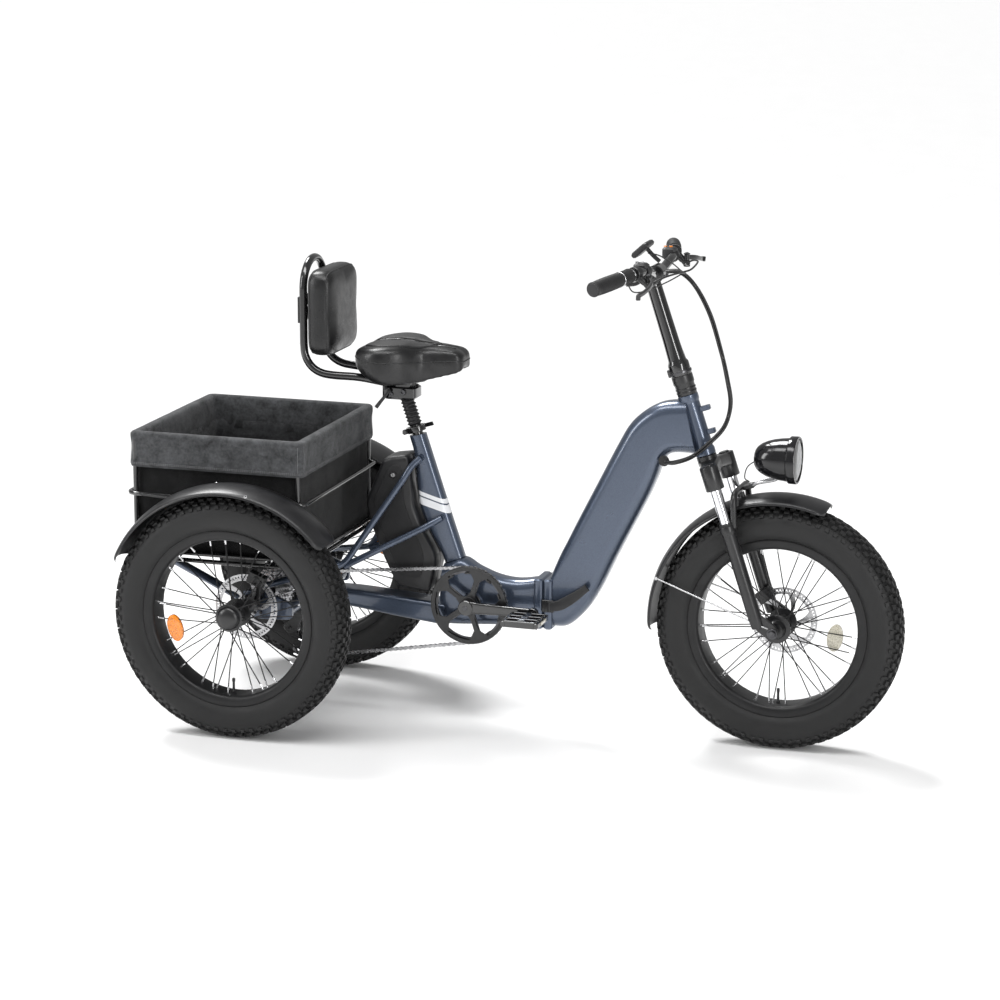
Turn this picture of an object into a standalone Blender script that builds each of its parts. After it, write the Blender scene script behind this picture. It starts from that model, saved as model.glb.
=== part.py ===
"""Electric folding adult tricycle with 20 inch fat tyres, a fabric rear basket and a backrest.

Every length is in metres. Shapes are drawn with X measured forwards from the rear axle, Y to the
rider's left and Z up from the ground; the datum empty then moves the whole tricycle so that the
origin lies on the ground under the middle of its length.
"""

from math import acos, asin, atan2, cos, pi, radians, sin, sqrt

import bmesh
import bpy
from mathutils import Matrix, Vector

# ---- driving dimensions ----
TYRE_R = 0.295            # 20 x 4.0 tyre, 590 mm over the tread
TYRE_HALF_W = 0.0502
RIM_R = 0.2145
RIM_INNER_R = 0.1906
RIM_HALF_W = 0.0385
WHEEL_SIDES = 40
WHEELBASE = 1.2577
HALF_TRACK = 0.3227
SPOKES = 36
REAR_DISC_Y = -0.2350
CARRIER_Y = 0.1980                         # middle of each axle carrier plate

STEER_TILT = radians(18.5)
HEAD_MID = Vector((1.0485, 0, 0.764))      # middle of the head tube
LEG_Y = 0.0775                             # fork leg spacing from the middle
LEG_AHEAD = 0.020                          # fork legs ahead of the steering axis
ARCH_X = 0.056                             # brace that joins the two lower legs

CRANK_AXLE = Vector((0.508, 0, 0.297))
CRANK_LENGTH = 0.170
CHAIN_Y = -0.060
CHAIN_PITCH = 0.0127
CHAINRING_TEETH = 46
COG_TEETH = 20
SEAT_TILT = radians(18)

FOLD_X = 0.6868                            # split plane of the frame hinge
FOLD_PIVOT = Vector((FOLD_X, 0.0500, 0.31))
BASKET_REAR, BASKET_FRONT = -0.2950, 0.1580
BASKET_HALF_W = 0.2560
BASKET_TOP, BASKET_BOTTOM = 0.711, 0.412
CUFF_BOTTOM = 0.625

FENDER_R = 0.3215

# the rear-most point is a rear fender's tip and the foremost is the front tyre
REAR_REACH = FENDER_R * cos(radians(157))
DATUM_X = -(WHEELBASE + TYRE_R + REAR_REACH) / 2

FRONT_AXLE = Vector((WHEELBASE, 0, TYRE_R))
REAR_AXLE = Vector((0, 0, TYRE_R))
STEER = Matrix.Translation(HEAD_MID) @ Matrix.Rotation(-STEER_TILT, 4, "Y")
AXLE_IN_FORK = STEER.inverted() @ FRONT_AXLE


# ---- scene, materials and bodies ----
def clear_scene():
    for old in list(bpy.data.objects):
        bpy.data.objects.remove(old, do_unlink=True)


def make_material(name, colour, roughness, metallic=0.0):
    material = bpy.data.materials.new(name)
    material.use_nodes = True
    shader = material.node_tree.nodes["Principled BSDF"]
    shader.inputs["Base Color"].default_value = (*colour, 1)
    shader.inputs["Roughness"].default_value = roughness
    shader.inputs["Metallic"].default_value = metallic
    material.diffuse_color = (*colour, 1)
    return material


LOOKS = {
    "slate_paint": ((0.085, 0.105, 0.150), 0.35, 0.6),
    "black_paint": ((0.015, 0.015, 0.016), 0.40, 0.0),
    "black_plastic": ((0.020, 0.020, 0.021), 0.55, 0.0),
    "tyre_rubber": ((0.022, 0.022, 0.023), 0.85, 0.0),
    "grip_rubber": ((0.018, 0.018, 0.018), 0.80, 0.0),
    "chrome": ((0.80, 0.80, 0.82), 0.10, 1.0),
    "steel": ((0.55, 0.55, 0.56), 0.35, 1.0),
    "basket_fabric": ((0.045, 0.047, 0.050), 0.95, 0.0),
    "saddle_leather": ((0.020, 0.020, 0.021), 0.50, 0.0),
    "clear_lens": ((0.30, 0.32, 0.34), 0.08, 0.0),
}


def add_empty(name, location, parent=None):
    empty = bpy.data.objects.new(name, None)
    bpy.context.scene.collection.objects.link(empty)
    empty.parent = parent
    empty.location = location
    return empty


def add_node(name, mesh, look, body):
    """One visible piece. Its mesh is in datum coordinates, its parent empty is on the joint axis."""
    mesh.name = name
    mesh.materials.clear()
    mesh.materials.append(make_material(name + "_" + look, *LOOKS[look]))
    mesh.shade_smooth()
    mesh.set_sharp_from_angle(angle=radians(35))
    piece = bpy.data.objects.new(name, mesh)
    bpy.context.scene.collection.objects.link(piece)
    piece.parent = body
    piece.location = -(body.matrix_world.translation - DATUM.matrix_world.translation)
    return piece


# ---- shape tools: each returns a mesh of one closed body ----
def mesh_of(rings, looped=False, capped=True):
    """Skin over rings of equal count; looped joins the last ring to the first."""
    build = bmesh.new()
    rows = [[build.verts.new(point) for point in ring] for ring in rings]
    count = len(rows[0])
    pairs = list(zip(rows, rows[1:]))
    if looped:
        pairs.append((rows[-1], rows[0]))
    for first, second in pairs:
        for i in range(count):
            j = (i + 1) % count
            build.faces.new((first[i], first[j], second[j], second[i]))
    if capped and not looped:
        build.faces.new(rows[0])
        build.faces.new(rows[-1])
    bmesh.ops.recalc_face_normals(build, faces=build.faces)
    mesh = bpy.data.meshes.new("shape")
    build.to_mesh(mesh)
    build.free()
    return mesh


def moved(mesh, matrix):
    mesh.transform(matrix)
    if matrix.determinant() < 0:
        mesh.flip_normals()
    return mesh


def mirrored(mesh):
    return moved(mesh.copy(), Matrix.Scale(-1, 4, Vector((0, 1, 0))))


def circle(radius, sides, phase=0.0):
    turns = [2 * pi * (i + phase) / sides for i in range(sides)]
    return [Vector((radius * cos(a), radius * sin(a), 0)) for a in turns]


def turned(profile, sides, place=None, phase=0.0):
    """Solid of revolution about local Z from (radius, z) pairs, with flat ends."""
    rings = []
    for radius, z in profile:
        rings.append([point + Vector((0, 0, z)) for point in circle(radius, sides, phase)])
    mesh = mesh_of(rings)
    return moved(mesh, place) if place else mesh


def wheel_ring(section, sides, place, phase=0.5):
    """Ring about local Z from a closed (radius, z) section, with a flat at the bottom."""
    rings = []
    for i in range(sides):
        a = 2 * pi * (i + phase) / sides
        rings.append([Vector((r * cos(a), r * sin(a), z)) for r, z in section])
    return moved(mesh_of(rings, looped=True), place)


def frames_along(path, closed=False):
    """(position, side, up, stretch) at each point; the side starts out as level as it can."""
    count = len(path)
    placed = []
    side = None
    for i, point in enumerate(path):
        if closed:
            before, after = path[i - 1], path[(i + 1) % count]
        else:
            before, after = path[max(i - 1, 0)], path[min(i + 1, count - 1)]
        ahead = (after - before).normalized()
        if side is None:
            helper = Vector((0, 0, 1)) if abs(ahead.z) < 0.9 else Vector((1, 0, 0))
            side = ahead.cross(helper).normalized()
        side = (side - ahead * side.dot(ahead)).normalized()
        up = side.cross(ahead).normalized()
        turn = 1.0
        if closed or 0 < i < count - 1:
            bend = (point - before).normalized().dot((after - point).normalized())
            turn = 1 / max(0.5, cos(acos(max(-1.0, min(1.0, bend))) / 2))
        placed.append((point, side, up, turn))
    return placed


def sweep(path, section, closed=False):
    """Section, a list of (across, up) offsets, carried along the path."""
    rings = []
    for point, side, up, _ in frames_along(path, closed):
        rings.append([point + side * a + up * b for a, b in section])
    return mesh_of(rings, looped=closed)


def tube(path, radius, sides=8, closed=False):
    """Round tube; radius may be one number or one for each point."""
    radii = radius if isinstance(radius, (list, tuple)) else [radius] * len(path)
    rings = []
    for (point, side, up, _), r in zip(frames_along(path, closed), radii):
        ring = []
        for i in range(sides):
            a = 2 * pi * (i + 0.5) / sides
            ring.append(point + side * (r * cos(a)) + up * (r * sin(a)))
        rings.append(ring)
    return mesh_of(rings, looped=closed)


def filleted(corners, radius, steps=3, closed=False):
    """The corners' polyline with each turn rounded by short arcs."""
    count = len(corners)
    path = []
    for i, corner in enumerate(corners):
        if not closed and i in (0, count - 1):
            path.append(corner.copy())
            continue
        to_last = corners[i - 1] - corner
        to_next = corners[(i + 1) % count] - corner
        reach = min(radius, to_last.length * 0.45, to_next.length * 0.45)
        start = corner + to_last.normalized() * reach
        end = corner + to_next.normalized() * reach
        for step in range(steps + 1):
            t = step / steps
            path.append(start * (1 - t) ** 2 + corner * (2 * t * (1 - t)) + end * t ** 2)
    return path


def smooth(points, steps=4):
    """Catmull-Rom curve through the points."""
    path = []
    padded = [points[0] * 2 - points[1]] + list(points) + [points[-1] * 2 - points[-2]]
    for p0, p1, p2, p3 in zip(padded, padded[1:], padded[2:], padded[3:]):
        for step in range(steps):
            t = step / steps
            path.append(
                0.5 * (2 * p1 + (p2 - p0) * t + (2 * p0 - 5 * p1 + 4 * p2 - p3) * t ** 2
                       + (3 * p1 - p0 - 3 * p2 + p3) * t ** 3)
            )
    path.append(points[-1].copy())
    return path


def rounded_box(size, chamfer, place=None):
    """Box with its four upright edges chamfered, about its own middle."""
    x, y, z = (length / 2 for length in size)
    c = chamfer
    ring = [(x, y - c), (x - c, y), (c - x, y), (-x, y - c), (-x, c - y), (c - x, -y), (x - c, -y),
            (x, c - y)]
    rings = [[Vector((a, b, h)) for a, b in ring] for h in (-z, z)]
    mesh = mesh_of(rings)
    return moved(mesh, place) if place else mesh


def side_plate(outline, y_low, y_high):
    """Plate cut to an outline of (x, z) points, between two Y planes."""
    return mesh_of([[Vector((x, y, z)) for x, z in outline] for y in (y_low, y_high)])


def bevelled(mesh, width, limit=radians(40)):
    build = bmesh.new()
    build.from_mesh(mesh)
    edges = [e for e in build.edges if e.calc_face_angle(0) > limit]
    bmesh.ops.bevel(build, geom=edges, offset=width, segments=1, affect="EDGES", clamp_overlap=True)
    build.to_mesh(mesh)
    build.free()
    return mesh


def combine(operation, first, others):
    """Exact Boolean of the first mesh with each of the others, in turn."""
    base = bpy.data.objects.new("base", first)
    bpy.context.scene.collection.objects.link(base)
    helpers = []
    for other in others:
        helper = bpy.data.objects.new("helper", other)
        bpy.context.scene.collection.objects.link(helper)
        helpers.append(helper)
        step = base.modifiers.new("step", "BOOLEAN")
        step.operation = operation
        step.object = helper
        step.solver = "EXACT"
    bpy.context.view_layer.update()
    graph = bpy.context.evaluated_depsgraph_get()
    result = bpy.data.meshes.new_from_object(base.evaluated_get(graph))
    for helper in helpers + [base]:
        bpy.data.objects.remove(helper, do_unlink=True)
    return result


def fuse(first, *others):
    return combine("UNION", first, others)


def cut(first, *others):
    return combine("DIFFERENCE", first, others)


def joined(meshes):
    """Shapes that don't touch each other, as one mesh for a Boolean to use."""
    build = bmesh.new()
    for mesh in meshes:
        build.from_mesh(mesh)
    result = bpy.data.meshes.new("joined")
    build.to_mesh(result)
    build.free()
    return result


def across(centre):
    """Places local Z along +Y (to the left) at a centre."""
    return Matrix.Translation(centre) @ Matrix.Rotation(-pi / 2, 4, "X")


def rod(start, end, radius, sides=10):
    return tube([start, end], radius, sides)


# ---- wheels ----
def tyre_section():
    half = [(0.2150, 0.0370), (0.2300, 0.0480), (0.2540, TYRE_HALF_W),
            (0.2850, 0.0370), (TYRE_R, 0.0180)]
    grow = 1 / cos(pi / WHEEL_SIDES)
    both = [(r, z) for r, z in half] + [(r, -z) for r, z in reversed(half)]
    return [(r * grow, z) for r, z in both]


def rim_section():
    edge, well = RIM_HALF_W, RIM_HALF_W - 0.008
    return [(RIM_R, edge), (RIM_R, -edge), (0.198, -edge), (RIM_INNER_R, -well),
            (RIM_INNER_R, well), (0.198, edge)]


def spoke(flange_r, flange_y, around, lean):
    """Thin three-sided spoke from the hub flange to just short of the rim."""
    thick = 0.0013
    a, b = around, around + lean
    start = Vector((flange_r * cos(a), flange_r * sin(a), flange_y))
    end_r = RIM_INNER_R - 0.0012
    end = Vector((end_r * cos(b), end_r * sin(b), flange_y * 0.22))
    return tube([start, end], thick, 3)


def hub_with_spokes(profile, flanges, flange_r, place):
    """Turned hub and its crossed spokes; flanges holds the height of each flange along the axle."""
    hub = turned(profile, 16)
    spokes = []
    for i in range(SPOKES):
        lean = radians(24) if (i // 2) % 2 else radians(-24)
        spokes.append(spoke(flange_r - 0.004, flanges[i % 2], 2 * pi * i / SPOKES, lean))
    return moved(fuse(hub, joined(spokes)), place)


def add_rim_and_tyre(side, body, centre):
    place = across(centre)
    valve = tube([Vector((0, -RIM_INNER_R - 0.002, 0)), Vector((0, -RIM_INNER_R + 0.032, 0))], 0.003, 6)
    rim = fuse(wheel_ring(rim_section(), WHEEL_SIDES, Matrix()), valve)
    add_node("rim_" + side, moved(rim, place @ Matrix.Rotation(pi, 4, "Z")), "black_paint", body)
    add_node("tyre_" + side, wheel_ring(tyre_section(), WHEEL_SIDES, place), "tyre_rubber", body)


def add_rear_wheel(side, sign, body):
    """Hub shell, spokes and the half axle that runs in to the differential are one piece."""
    centre = Vector((0, sign * HALF_TRACK, TYRE_R))
    outward = across(centre) @ (Matrix() if sign > 0 else Matrix.Rotation(pi, 4, "X"))
    profile = [(0.0100, -0.3222), (0.0100, -0.1170), (0.0210, -0.1150), (0.0210, -0.0700),
               (0.0195, -0.0360),
               (0.0340, -0.0340), (0.0340, -0.0290), (0.0200, -0.0270), (0.0200, 0.0180),
               (0.0340, 0.0200),
               (0.0340, 0.0250), (0.0280, 0.0270), (0.0280, 0.0340), (0.0210, 0.0410), (0.0100, 0.0440)]
    spoked = hub_with_spokes(profile, (-0.0315, 0.0225), 0.034, outward)
    add_node("hub_" + side, spoked, "black_paint", body)
    add_rim_and_tyre(side, body, centre)


def brake_disc(y, bore):
    section = [(0.080, 0.0010), (0.080, -0.0010), (bore, -0.0010), (bore, 0.0010)]
    return wheel_ring(section, 24, across(Vector((0, y, 0))))


def add_front_wheel(body):
    profile = [(0.0060, -0.0700), (0.0060, -0.0560), (0.0190, -0.0550), (0.0230, -0.0400),
               (0.0340, -0.0390),
               (0.0340, -0.0340), (0.0200, -0.0320), (0.0200, 0.0270), (0.0340, 0.0290),
               (0.0340, 0.0340),
               (0.0205, 0.0350), (0.0205, 0.0560), (0.0060, 0.0570), (0.0060, 0.0700)]
    spoked = hub_with_spokes(profile, (-0.0365, 0.0315), 0.034, across(FRONT_AXLE))
    add_node("hub_front", spoked, "black_paint", body)
    disc = moved(brake_disc(0.0480, 0.0214), Matrix.Translation(FRONT_AXLE))
    add_node("brake_disc_front", disc, "steel", body)
    add_rim_and_tyre("front", body, FRONT_AXLE)


# ---- rear frame ----
def loft_stations(stations, half_w, corner, sides=12):
    """Rounded section between a top and a bottom point at each (top, bottom) station in the XZ plane."""
    rings = []
    for (tx, tz), (bx, bz) in stations:
        top, bottom = Vector((tx, 0, tz)), Vector((bx, 0, bz))
        middle, rise = (top + bottom) / 2, (top - bottom)
        half_d = rise.length / 2
        up = rise.normalized()
        ring = []
        r = min(corner, half_d * 0.98)
        quarter = sides // 4
        for q, (sy, sz) in enumerate(((1, 1), (-1, 1), (-1, -1), (1, -1))):
            for i in range(quarter):
                a = pi / 2 * (q + i / (quarter - 1))
                across_y = sy * (half_w - r) + r * cos(a)
                along = sz * (half_d - r) + r * sin(a)
                ring.append(middle + Vector((0, across_y, 0)) + up * along)
        rings.append(ring)
    return mesh_of(rings)


def add_seat_tube(body):
    stations = [((0.3770, 0.7000), (0.3385, 0.6920)), ((0.3890, 0.6640), (0.3500, 0.6520)),
                ((0.4060, 0.6130), (0.3560, 0.5960)), ((0.4290, 0.5440), (0.3650, 0.5230)),
                ((0.4500, 0.4810), (0.3900, 0.4620)), ((0.4690, 0.4260), (0.4190, 0.4100)),
                ((0.4770, 0.4020), (0.4290, 0.3850))]
    shape = loft_stations(stations, 0.0205, 0.016)
    socket_top = Vector((0.3577, 0, 0.6970))
    down = Vector((sin(SEAT_TILT), 0, -cos(SEAT_TILT)))
    bore = tube([socket_top - down * 0.02, socket_top + down * 0.170], 0.0140, 12)
    add_node("seat_tube", cut(shape, bore), "slate_paint", body)


def add_frame_beam(body):
    stations = [((0.4290, 0.3835), (0.4180, 0.2350)), ((0.4750, 0.4000), (0.4500, 0.2330)),
                ((0.5150, 0.3800), (0.5000, 0.2360)), ((0.5650, 0.3620), (0.5600, 0.2400)),
                ((0.6160, 0.3570), (0.6160, 0.2450)), ((0.6700, 0.3660), (0.6700, 0.2500))]
    beam = loft_stations(stations, 0.0330, 0.024)
    rear = loft_stations([((0.1050, 0.2990), (0.1050, 0.2600)), ((0.1850, 0.3020), (0.1850, 0.2600)),
                          ((0.3000, 0.2960), (0.3000, 0.2460)), ((0.4350, 0.2860), (0.4350, 0.2320))],
                         0.0375, 0.012)
    shell = rod(CRANK_AXLE - Vector((0, 0.0370, 0)), CRANK_AXLE + Vector((0, 0.0370, 0)), 0.0260, 14)
    plate = rounded_box((0.0230, 0.0880, 0.1240), 0.006,
                        Matrix.Translation((FOLD_X - 0.0005 - 0.0115, 0, 0.3080)))
    knuckles = []
    for z in (0.2620, 0.3540):
        low, high = Vector((FOLD_PIVOT.x, FOLD_PIVOT.y, z - 0.010)), Vector((FOLD_PIVOT.x, FOLD_PIVOT.y,
                                                            z + 0.010))
        knuckles.append(rod(low, high, 0.0085, 10))
    link = rounded_box((0.0160, 0.0150, 0.1120), 0.003,
                       Matrix.Translation((FOLD_X - 0.0095, 0.0450, 0.3080)))
    solid = fuse(beam, rear, shell, plate, link, *knuckles)
    bore = rod(CRANK_AXLE - Vector((0, 0.06, 0)), CRANK_AXLE + Vector((0, 0.06, 0)), 0.0185, 14)
    gap = rod(Vector((FOLD_PIVOT.x, FOLD_PIVOT.y, 0.2725)),
              Vector((FOLD_PIVOT.x, FOLD_PIVOT.y, 0.3435)), 0.0095, 12)
    add_node("frame_beam", cut(solid, bore, gap), "slate_paint", body)


def add_stays(body):
    """Two tubes a side that start on the seat tube, meet, and run back to the axle carrier."""
    radius = 0.0080
    meet = Vector((0.2000, -0.0960, 0.3820))
    end = Vector((0.0300, 0.0070 - CARRIER_Y, 0.3380))
    upper = [Vector((0.3860, -0.0290, 0.6430)), Vector((0.3640, -0.0420, 0.6230)),
             Vector((0.3420, -0.0510, 0.5880)), meet, end]
    lower = [Vector((0.4360, -0.0290, 0.4980)), Vector((0.4160, -0.0420, 0.4870)),
             Vector((0.3900, -0.0510, 0.4740)), meet + Vector((0, 0.0010, -0.0050))]
    right = fuse(tube(upper, radius, 8), tube(lower, radius, 8))
    add_node("stays_right", right, "slate_paint", body)
    add_node("stays_left", mirrored(right), "slate_paint", body)


def add_axle_carrier(body):
    """Cross tube ahead of the axle, a bearing plate at each end and a strut up to the basket."""
    reach = CARRIER_Y + 0.0040
    cross = rod(Vector((0.0860, -reach, 0.2800)), Vector((0.0860, reach, 0.2800)), 0.0160, 12)
    pieces = []
    cutters = []
    for sign in (-1, 1):
        outline = [(0.105, 0.262), (0.105, 0.300), (0.040, 0.327), (-0.020, 0.327), (-0.034, 0.306),
                   (-0.034, 0.280),
                   (-0.018, 0.263), (0.030, 0.258)]
        middle = sign * CARRIER_Y
        pieces.append(side_plate(outline, middle - 0.0060, middle + 0.0060))
        start = Vector((-0.020, middle - sign * 0.0050, 0.300))
        pieces.append(rod(start, Vector((-0.240, sign * 0.1500, 0.3810)), 0.0105, 10))
        cutters.append(rod(Vector((0, middle - 0.02, TYRE_R)), Vector((0, middle + 0.02, TYRE_R)),
                           0.0115, 14))
    add_node("axle_carrier", cut(fuse(cross, *pieces), *cutters), "slate_paint", body)


def basket_ring(inset, height, radius=0.022, steps=3):
    low_x, high_x = BASKET_REAR + inset, BASKET_FRONT - inset
    y = BASKET_HALF_W - inset
    corners = [Vector((high_x, y, height)), Vector((low_x, y, height)), Vector((low_x, -y, height)),
               Vector((high_x, -y, height))]
    return filleted(corners, max(0.012, radius - inset), steps, closed=True)


def add_basket(body):
    """Fabric tub with a cuff folded down over the outside of its tube frame."""
    wall = [(0.030, BASKET_BOTTOM), (0.0280, BASKET_BOTTOM + 0.006), (0.0275, BASKET_TOP - 0.018),
            (0.0040, BASKET_TOP - 0.009),
            (0.0034, CUFF_BOTTOM), (0.0, CUFF_BOTTOM - 0.0004), (0.0, BASKET_TOP - 0.008),
            (0.005, BASKET_TOP),
            (0.027, BASKET_TOP), (0.0315, BASKET_TOP - 0.006), (0.0320, BASKET_BOTTOM + 0.010),
            (0.036, BASKET_BOTTOM + 0.005)]
    add_node("basket_liner", mesh_of([basket_ring(inset, z) for inset, z in wall]), "basket_fabric",
             body)
    r = 0.0055
    inset = 0.0160
    rings = []
    for ring_inset, z in ((inset, BASKET_TOP - 0.022), (0.0060, 0.5600), (inset, 0.4000)):
        rings.append(tube(basket_ring(ring_inset, z, steps=2), r, 6, closed=True))
    posts = []
    for x in (BASKET_REAR + 0.034, BASKET_FRONT - 0.034):
        for sign in (-1, 1):
            y = sign * (BASKET_HALF_W - inset)
            posts.append(rod(Vector((x, y, 0.398)), Vector((x, y, BASKET_TOP - 0.020)), r * 1.15, 6))
    bars = []
    for y in (-0.1500, 0.1500):
        bars.append(rod(Vector((BASKET_REAR + inset, y, 0.4000)),
                        Vector((BASKET_FRONT - inset, y, 0.4000)), r * 0.9, 6))
    add_node("basket_frame", fuse(rings[0], rings[1], rings[2], *posts, *bars), "black_paint", body)


def fender(centre, crown, half_w, start_deg, end_deg, steps=12):
    """Curved blade: a crowned cross section carried round the wheel."""
    section = [(-half_w, crown - 0.0150), (-half_w * 0.55, crown - 0.0040), (0.0, crown),
               (half_w * 0.55, crown - 0.0040), (half_w, crown - 0.0150)]
    thick = 0.0028
    outline = section + [(y, r - thick) for y, r in reversed(section)]
    rings = []
    for i in range(steps + 1):
        a = radians(start_deg + (end_deg - start_deg) * i / steps)
        rings.append([centre + Vector((r * cos(a), y, r * sin(a))) for y, r in outline])
    return mesh_of(rings)


def add_rear_fenders(body):
    for side, sign in (("right", -1), ("left", 1)):
        centre = Vector((0, sign * HALF_TRACK, TYRE_R))
        blade = fender(centre, FENDER_R, 0.0590, 38, 157)
        brackets = []
        for x, z in ((BASKET_REAR + 0.034, 0.5600), (BASKET_FRONT - 0.034, 0.5600)):
            inner = Vector((x, sign * (BASKET_HALF_W + 0.0024), z))
            outer = Vector((x, sign * (HALF_TRACK - 0.0540), z))
            brackets.append((inner, outer))
        stays = [rod(a, Vector((b.x * 0.62, b.y,
                                centre.z + sqrt((FENDER_R - 0.014) ** 2 - (b.x * 0.62) ** 2))), 0.004,
                                6)
                 for a, b in brackets]
        add_node("fender_rear_" + side, fuse(blade, *stays), "black_plastic", body)


def add_motor(body):
    """Differential motor round the rear axle, behind the cross tube."""
    profile = [(0.0200, -0.0380), (0.0500, -0.0370), (0.0640, -0.0300), (0.0660, 0.0800),
               (0.0560, 0.0950), (0.0200, 0.0990)]
    case = turned(profile, 24, across(REAR_AXLE))
    arm = rounded_box((0.030, 0.060, 0.024), 0.004, Matrix.Translation((0.0640, 0.030, 0.3050)))
    bore = rod(REAR_AXLE - Vector((0, 0.08, 0)), REAR_AXLE + Vector((0, 0.12, 0)), 0.0115, 14)
    lug = cut(arm, rod(Vector((0.0860, -0.05, 0.2800)), Vector((0.0860, 0.10, 0.2800)), 0.0168, 12))
    add_node("motor_housing", cut(fuse(case, lug), bore), "black_paint", body)


def caliper(size, slot, place):
    """Block that straddles the disc: the slot is open towards the wheel's axle."""
    x, y, z = size
    block = bevelled(rounded_box(size, 0.004), 0.0015)
    opening = rounded_box((x * 1.2, slot, z), 0.0004, Matrix.Translation((0, 0, -z * 0.22)))
    return moved(cut(block, opening), place)


def add_rear_caliper(body):
    turn = radians(68)
    at = REAR_AXLE + Vector((0.076 * cos(turn), REAR_DISC_Y, 0.076 * sin(turn)))
    place = Matrix.Translation(at) @ Matrix.Rotation(pi / 2 - turn, 4, "Y")
    block = caliper((0.046, 0.024, 0.030), 0.0040, place)
    face = -CARRIER_Y - 0.0064
    arm = rounded_box((0.0150, -REAR_DISC_Y - 0.0040 + face, 0.0560), 0.002)
    moved(arm, Matrix.Translation((0.0270, (REAR_DISC_Y + 0.0040 + face) / 2, 0.3400)))
    add_node("brake_caliper_rear", fuse(block, arm), "black_paint", body)


# ---- drive train ----
def pitch_radius(teeth):
    return CHAIN_PITCH / (2 * sin(pi / teeth))


GUIDE_PULLEY = Vector((0.0440, 0, 0.2060))
TENSION_PULLEY = Vector((0.0760, 0, 0.1500))
PULLEY_R = 0.0215
CHAIN_STEP = radians(16)
CHAIN_HALF_H = 0.0036


def inside_chain(teeth):
    """Outer radius of a toothed disc that stays just inside the chain's straight links."""
    return pitch_radius(teeth) * cos(CHAIN_STEP / 2) - CHAIN_HALF_H - 0.0006


def belt_path(wheels, step_angle):
    """Path round wheels of (centre, radius, turn), with turn 1 clockwise seen from the right side."""
    links = []
    for (c1, r1, s1), (c2, r2, s2) in zip(wheels, wheels[1:] + wheels[:1]):
        gap = c2 - c1
        heading = atan2(gap.z, gap.x) - asin((s1 * r1 - s2 * r2) / gap.length)
        left = Vector((-sin(heading), 0, cos(heading)))
        links.append((heading, c1 + left * (s1 * r1), c2 + left * (s2 * r2)))
    path = []
    for i, (centre, radius, turn) in enumerate(wheels):
        arrive, leave = links[i - 1][2], links[i][1]
        a = atan2(arrive.z - centre.z, arrive.x - centre.x)
        b = atan2(leave.z - centre.z, leave.x - centre.x)
        angle = (a - b) % (2 * pi) if turn > 0 else (b - a) % (2 * pi)
        steps = max(2, round(angle / step_angle))
        for k in range(steps + 1):
            c = a - turn * angle * k / steps
            path.append(centre + Vector((radius * cos(c), 0, radius * sin(c))))
    return path


def chain_wheels():
    return [(CRANK_AXLE, pitch_radius(CHAINRING_TEETH), 1), (TENSION_PULLEY, PULLEY_R, 1),
            (GUIDE_PULLEY, PULLEY_R, -1), (REAR_AXLE, pitch_radius(COG_TEETH), 1)]


def add_chain(body):
    height, width = CHAIN_HALF_H, 0.0034
    section = [(-width, -height), (width, -height), (width, height), (-width, height)]
    path = [point + Vector((0, CHAIN_Y, 0)) for point in belt_path(chain_wheels(), CHAIN_STEP)]
    add_node("chain", sweep(path, section, closed=True), "steel", body)


def add_cassette(body):
    under_chain = inside_chain(COG_TEETH)
    profile = [(0.0200, -0.0790), (0.0280, -0.0785), (0.0280, -0.0680), (under_chain, -0.0675),
               (under_chain, -0.0553),
               (0.0530, -0.0550), (0.0530, -0.0440), (0.0200, -0.0420)]
    solid = turned(profile, 20, across(REAR_AXLE))
    bore = rod(REAR_AXLE - Vector((0, 0.10, 0)), REAR_AXLE - Vector((0, 0.02, 0)), 0.0112, 14)
    add_node("cassette", cut(solid, bore), "steel", body)


def add_derailleur(body):
    y = CHAIN_Y
    hanger = side_plate([(0.068, 0.262), (0.096, 0.262), (0.066, 0.196), (0.044, 0.192), (0.032, 0.206),
                         (0.048, 0.222)],
                        y - 0.0200, y - 0.0125)
    foot = rounded_box((0.0240, 0.0300, 0.0060), 0.002,
                       Matrix.Translation((0.0860, y - 0.0100, 0.2611)))
    add_node("derailleur_body", fuse(hanger, foot), "black_plastic", body)
    plates = []
    for low, high in ((y - 0.0105, y - 0.0085), (y + 0.0050, y + 0.0070)):
        outline = []
        for centre, start in ((GUIDE_PULLEY, 60), (TENSION_PULLEY, 240)):
            for k in range(5):
                a = radians(start + k * 45 - 30)
                outline.append((centre.x + 0.012 * cos(a), centre.z + 0.012 * sin(a)))
        plates.append(side_plate(outline, low, high))
    wheels = []
    for centre in (GUIDE_PULLEY, TENSION_PULLEY):
        wheels.append(rod(centre + Vector((0, y - 0.0030, 0)), centre + Vector((0, y + 0.0030, 0)),
                          PULLEY_R - 0.0050, 14))
        wheels.append(rod(centre + Vector((0, y - 0.0095, 0)), centre + Vector((0, y + 0.0060, 0)),
                          0.0050, 8))
    add_node("derailleur_cage", fuse(plates[0], plates[1], *wheels), "black_plastic", body)


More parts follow.
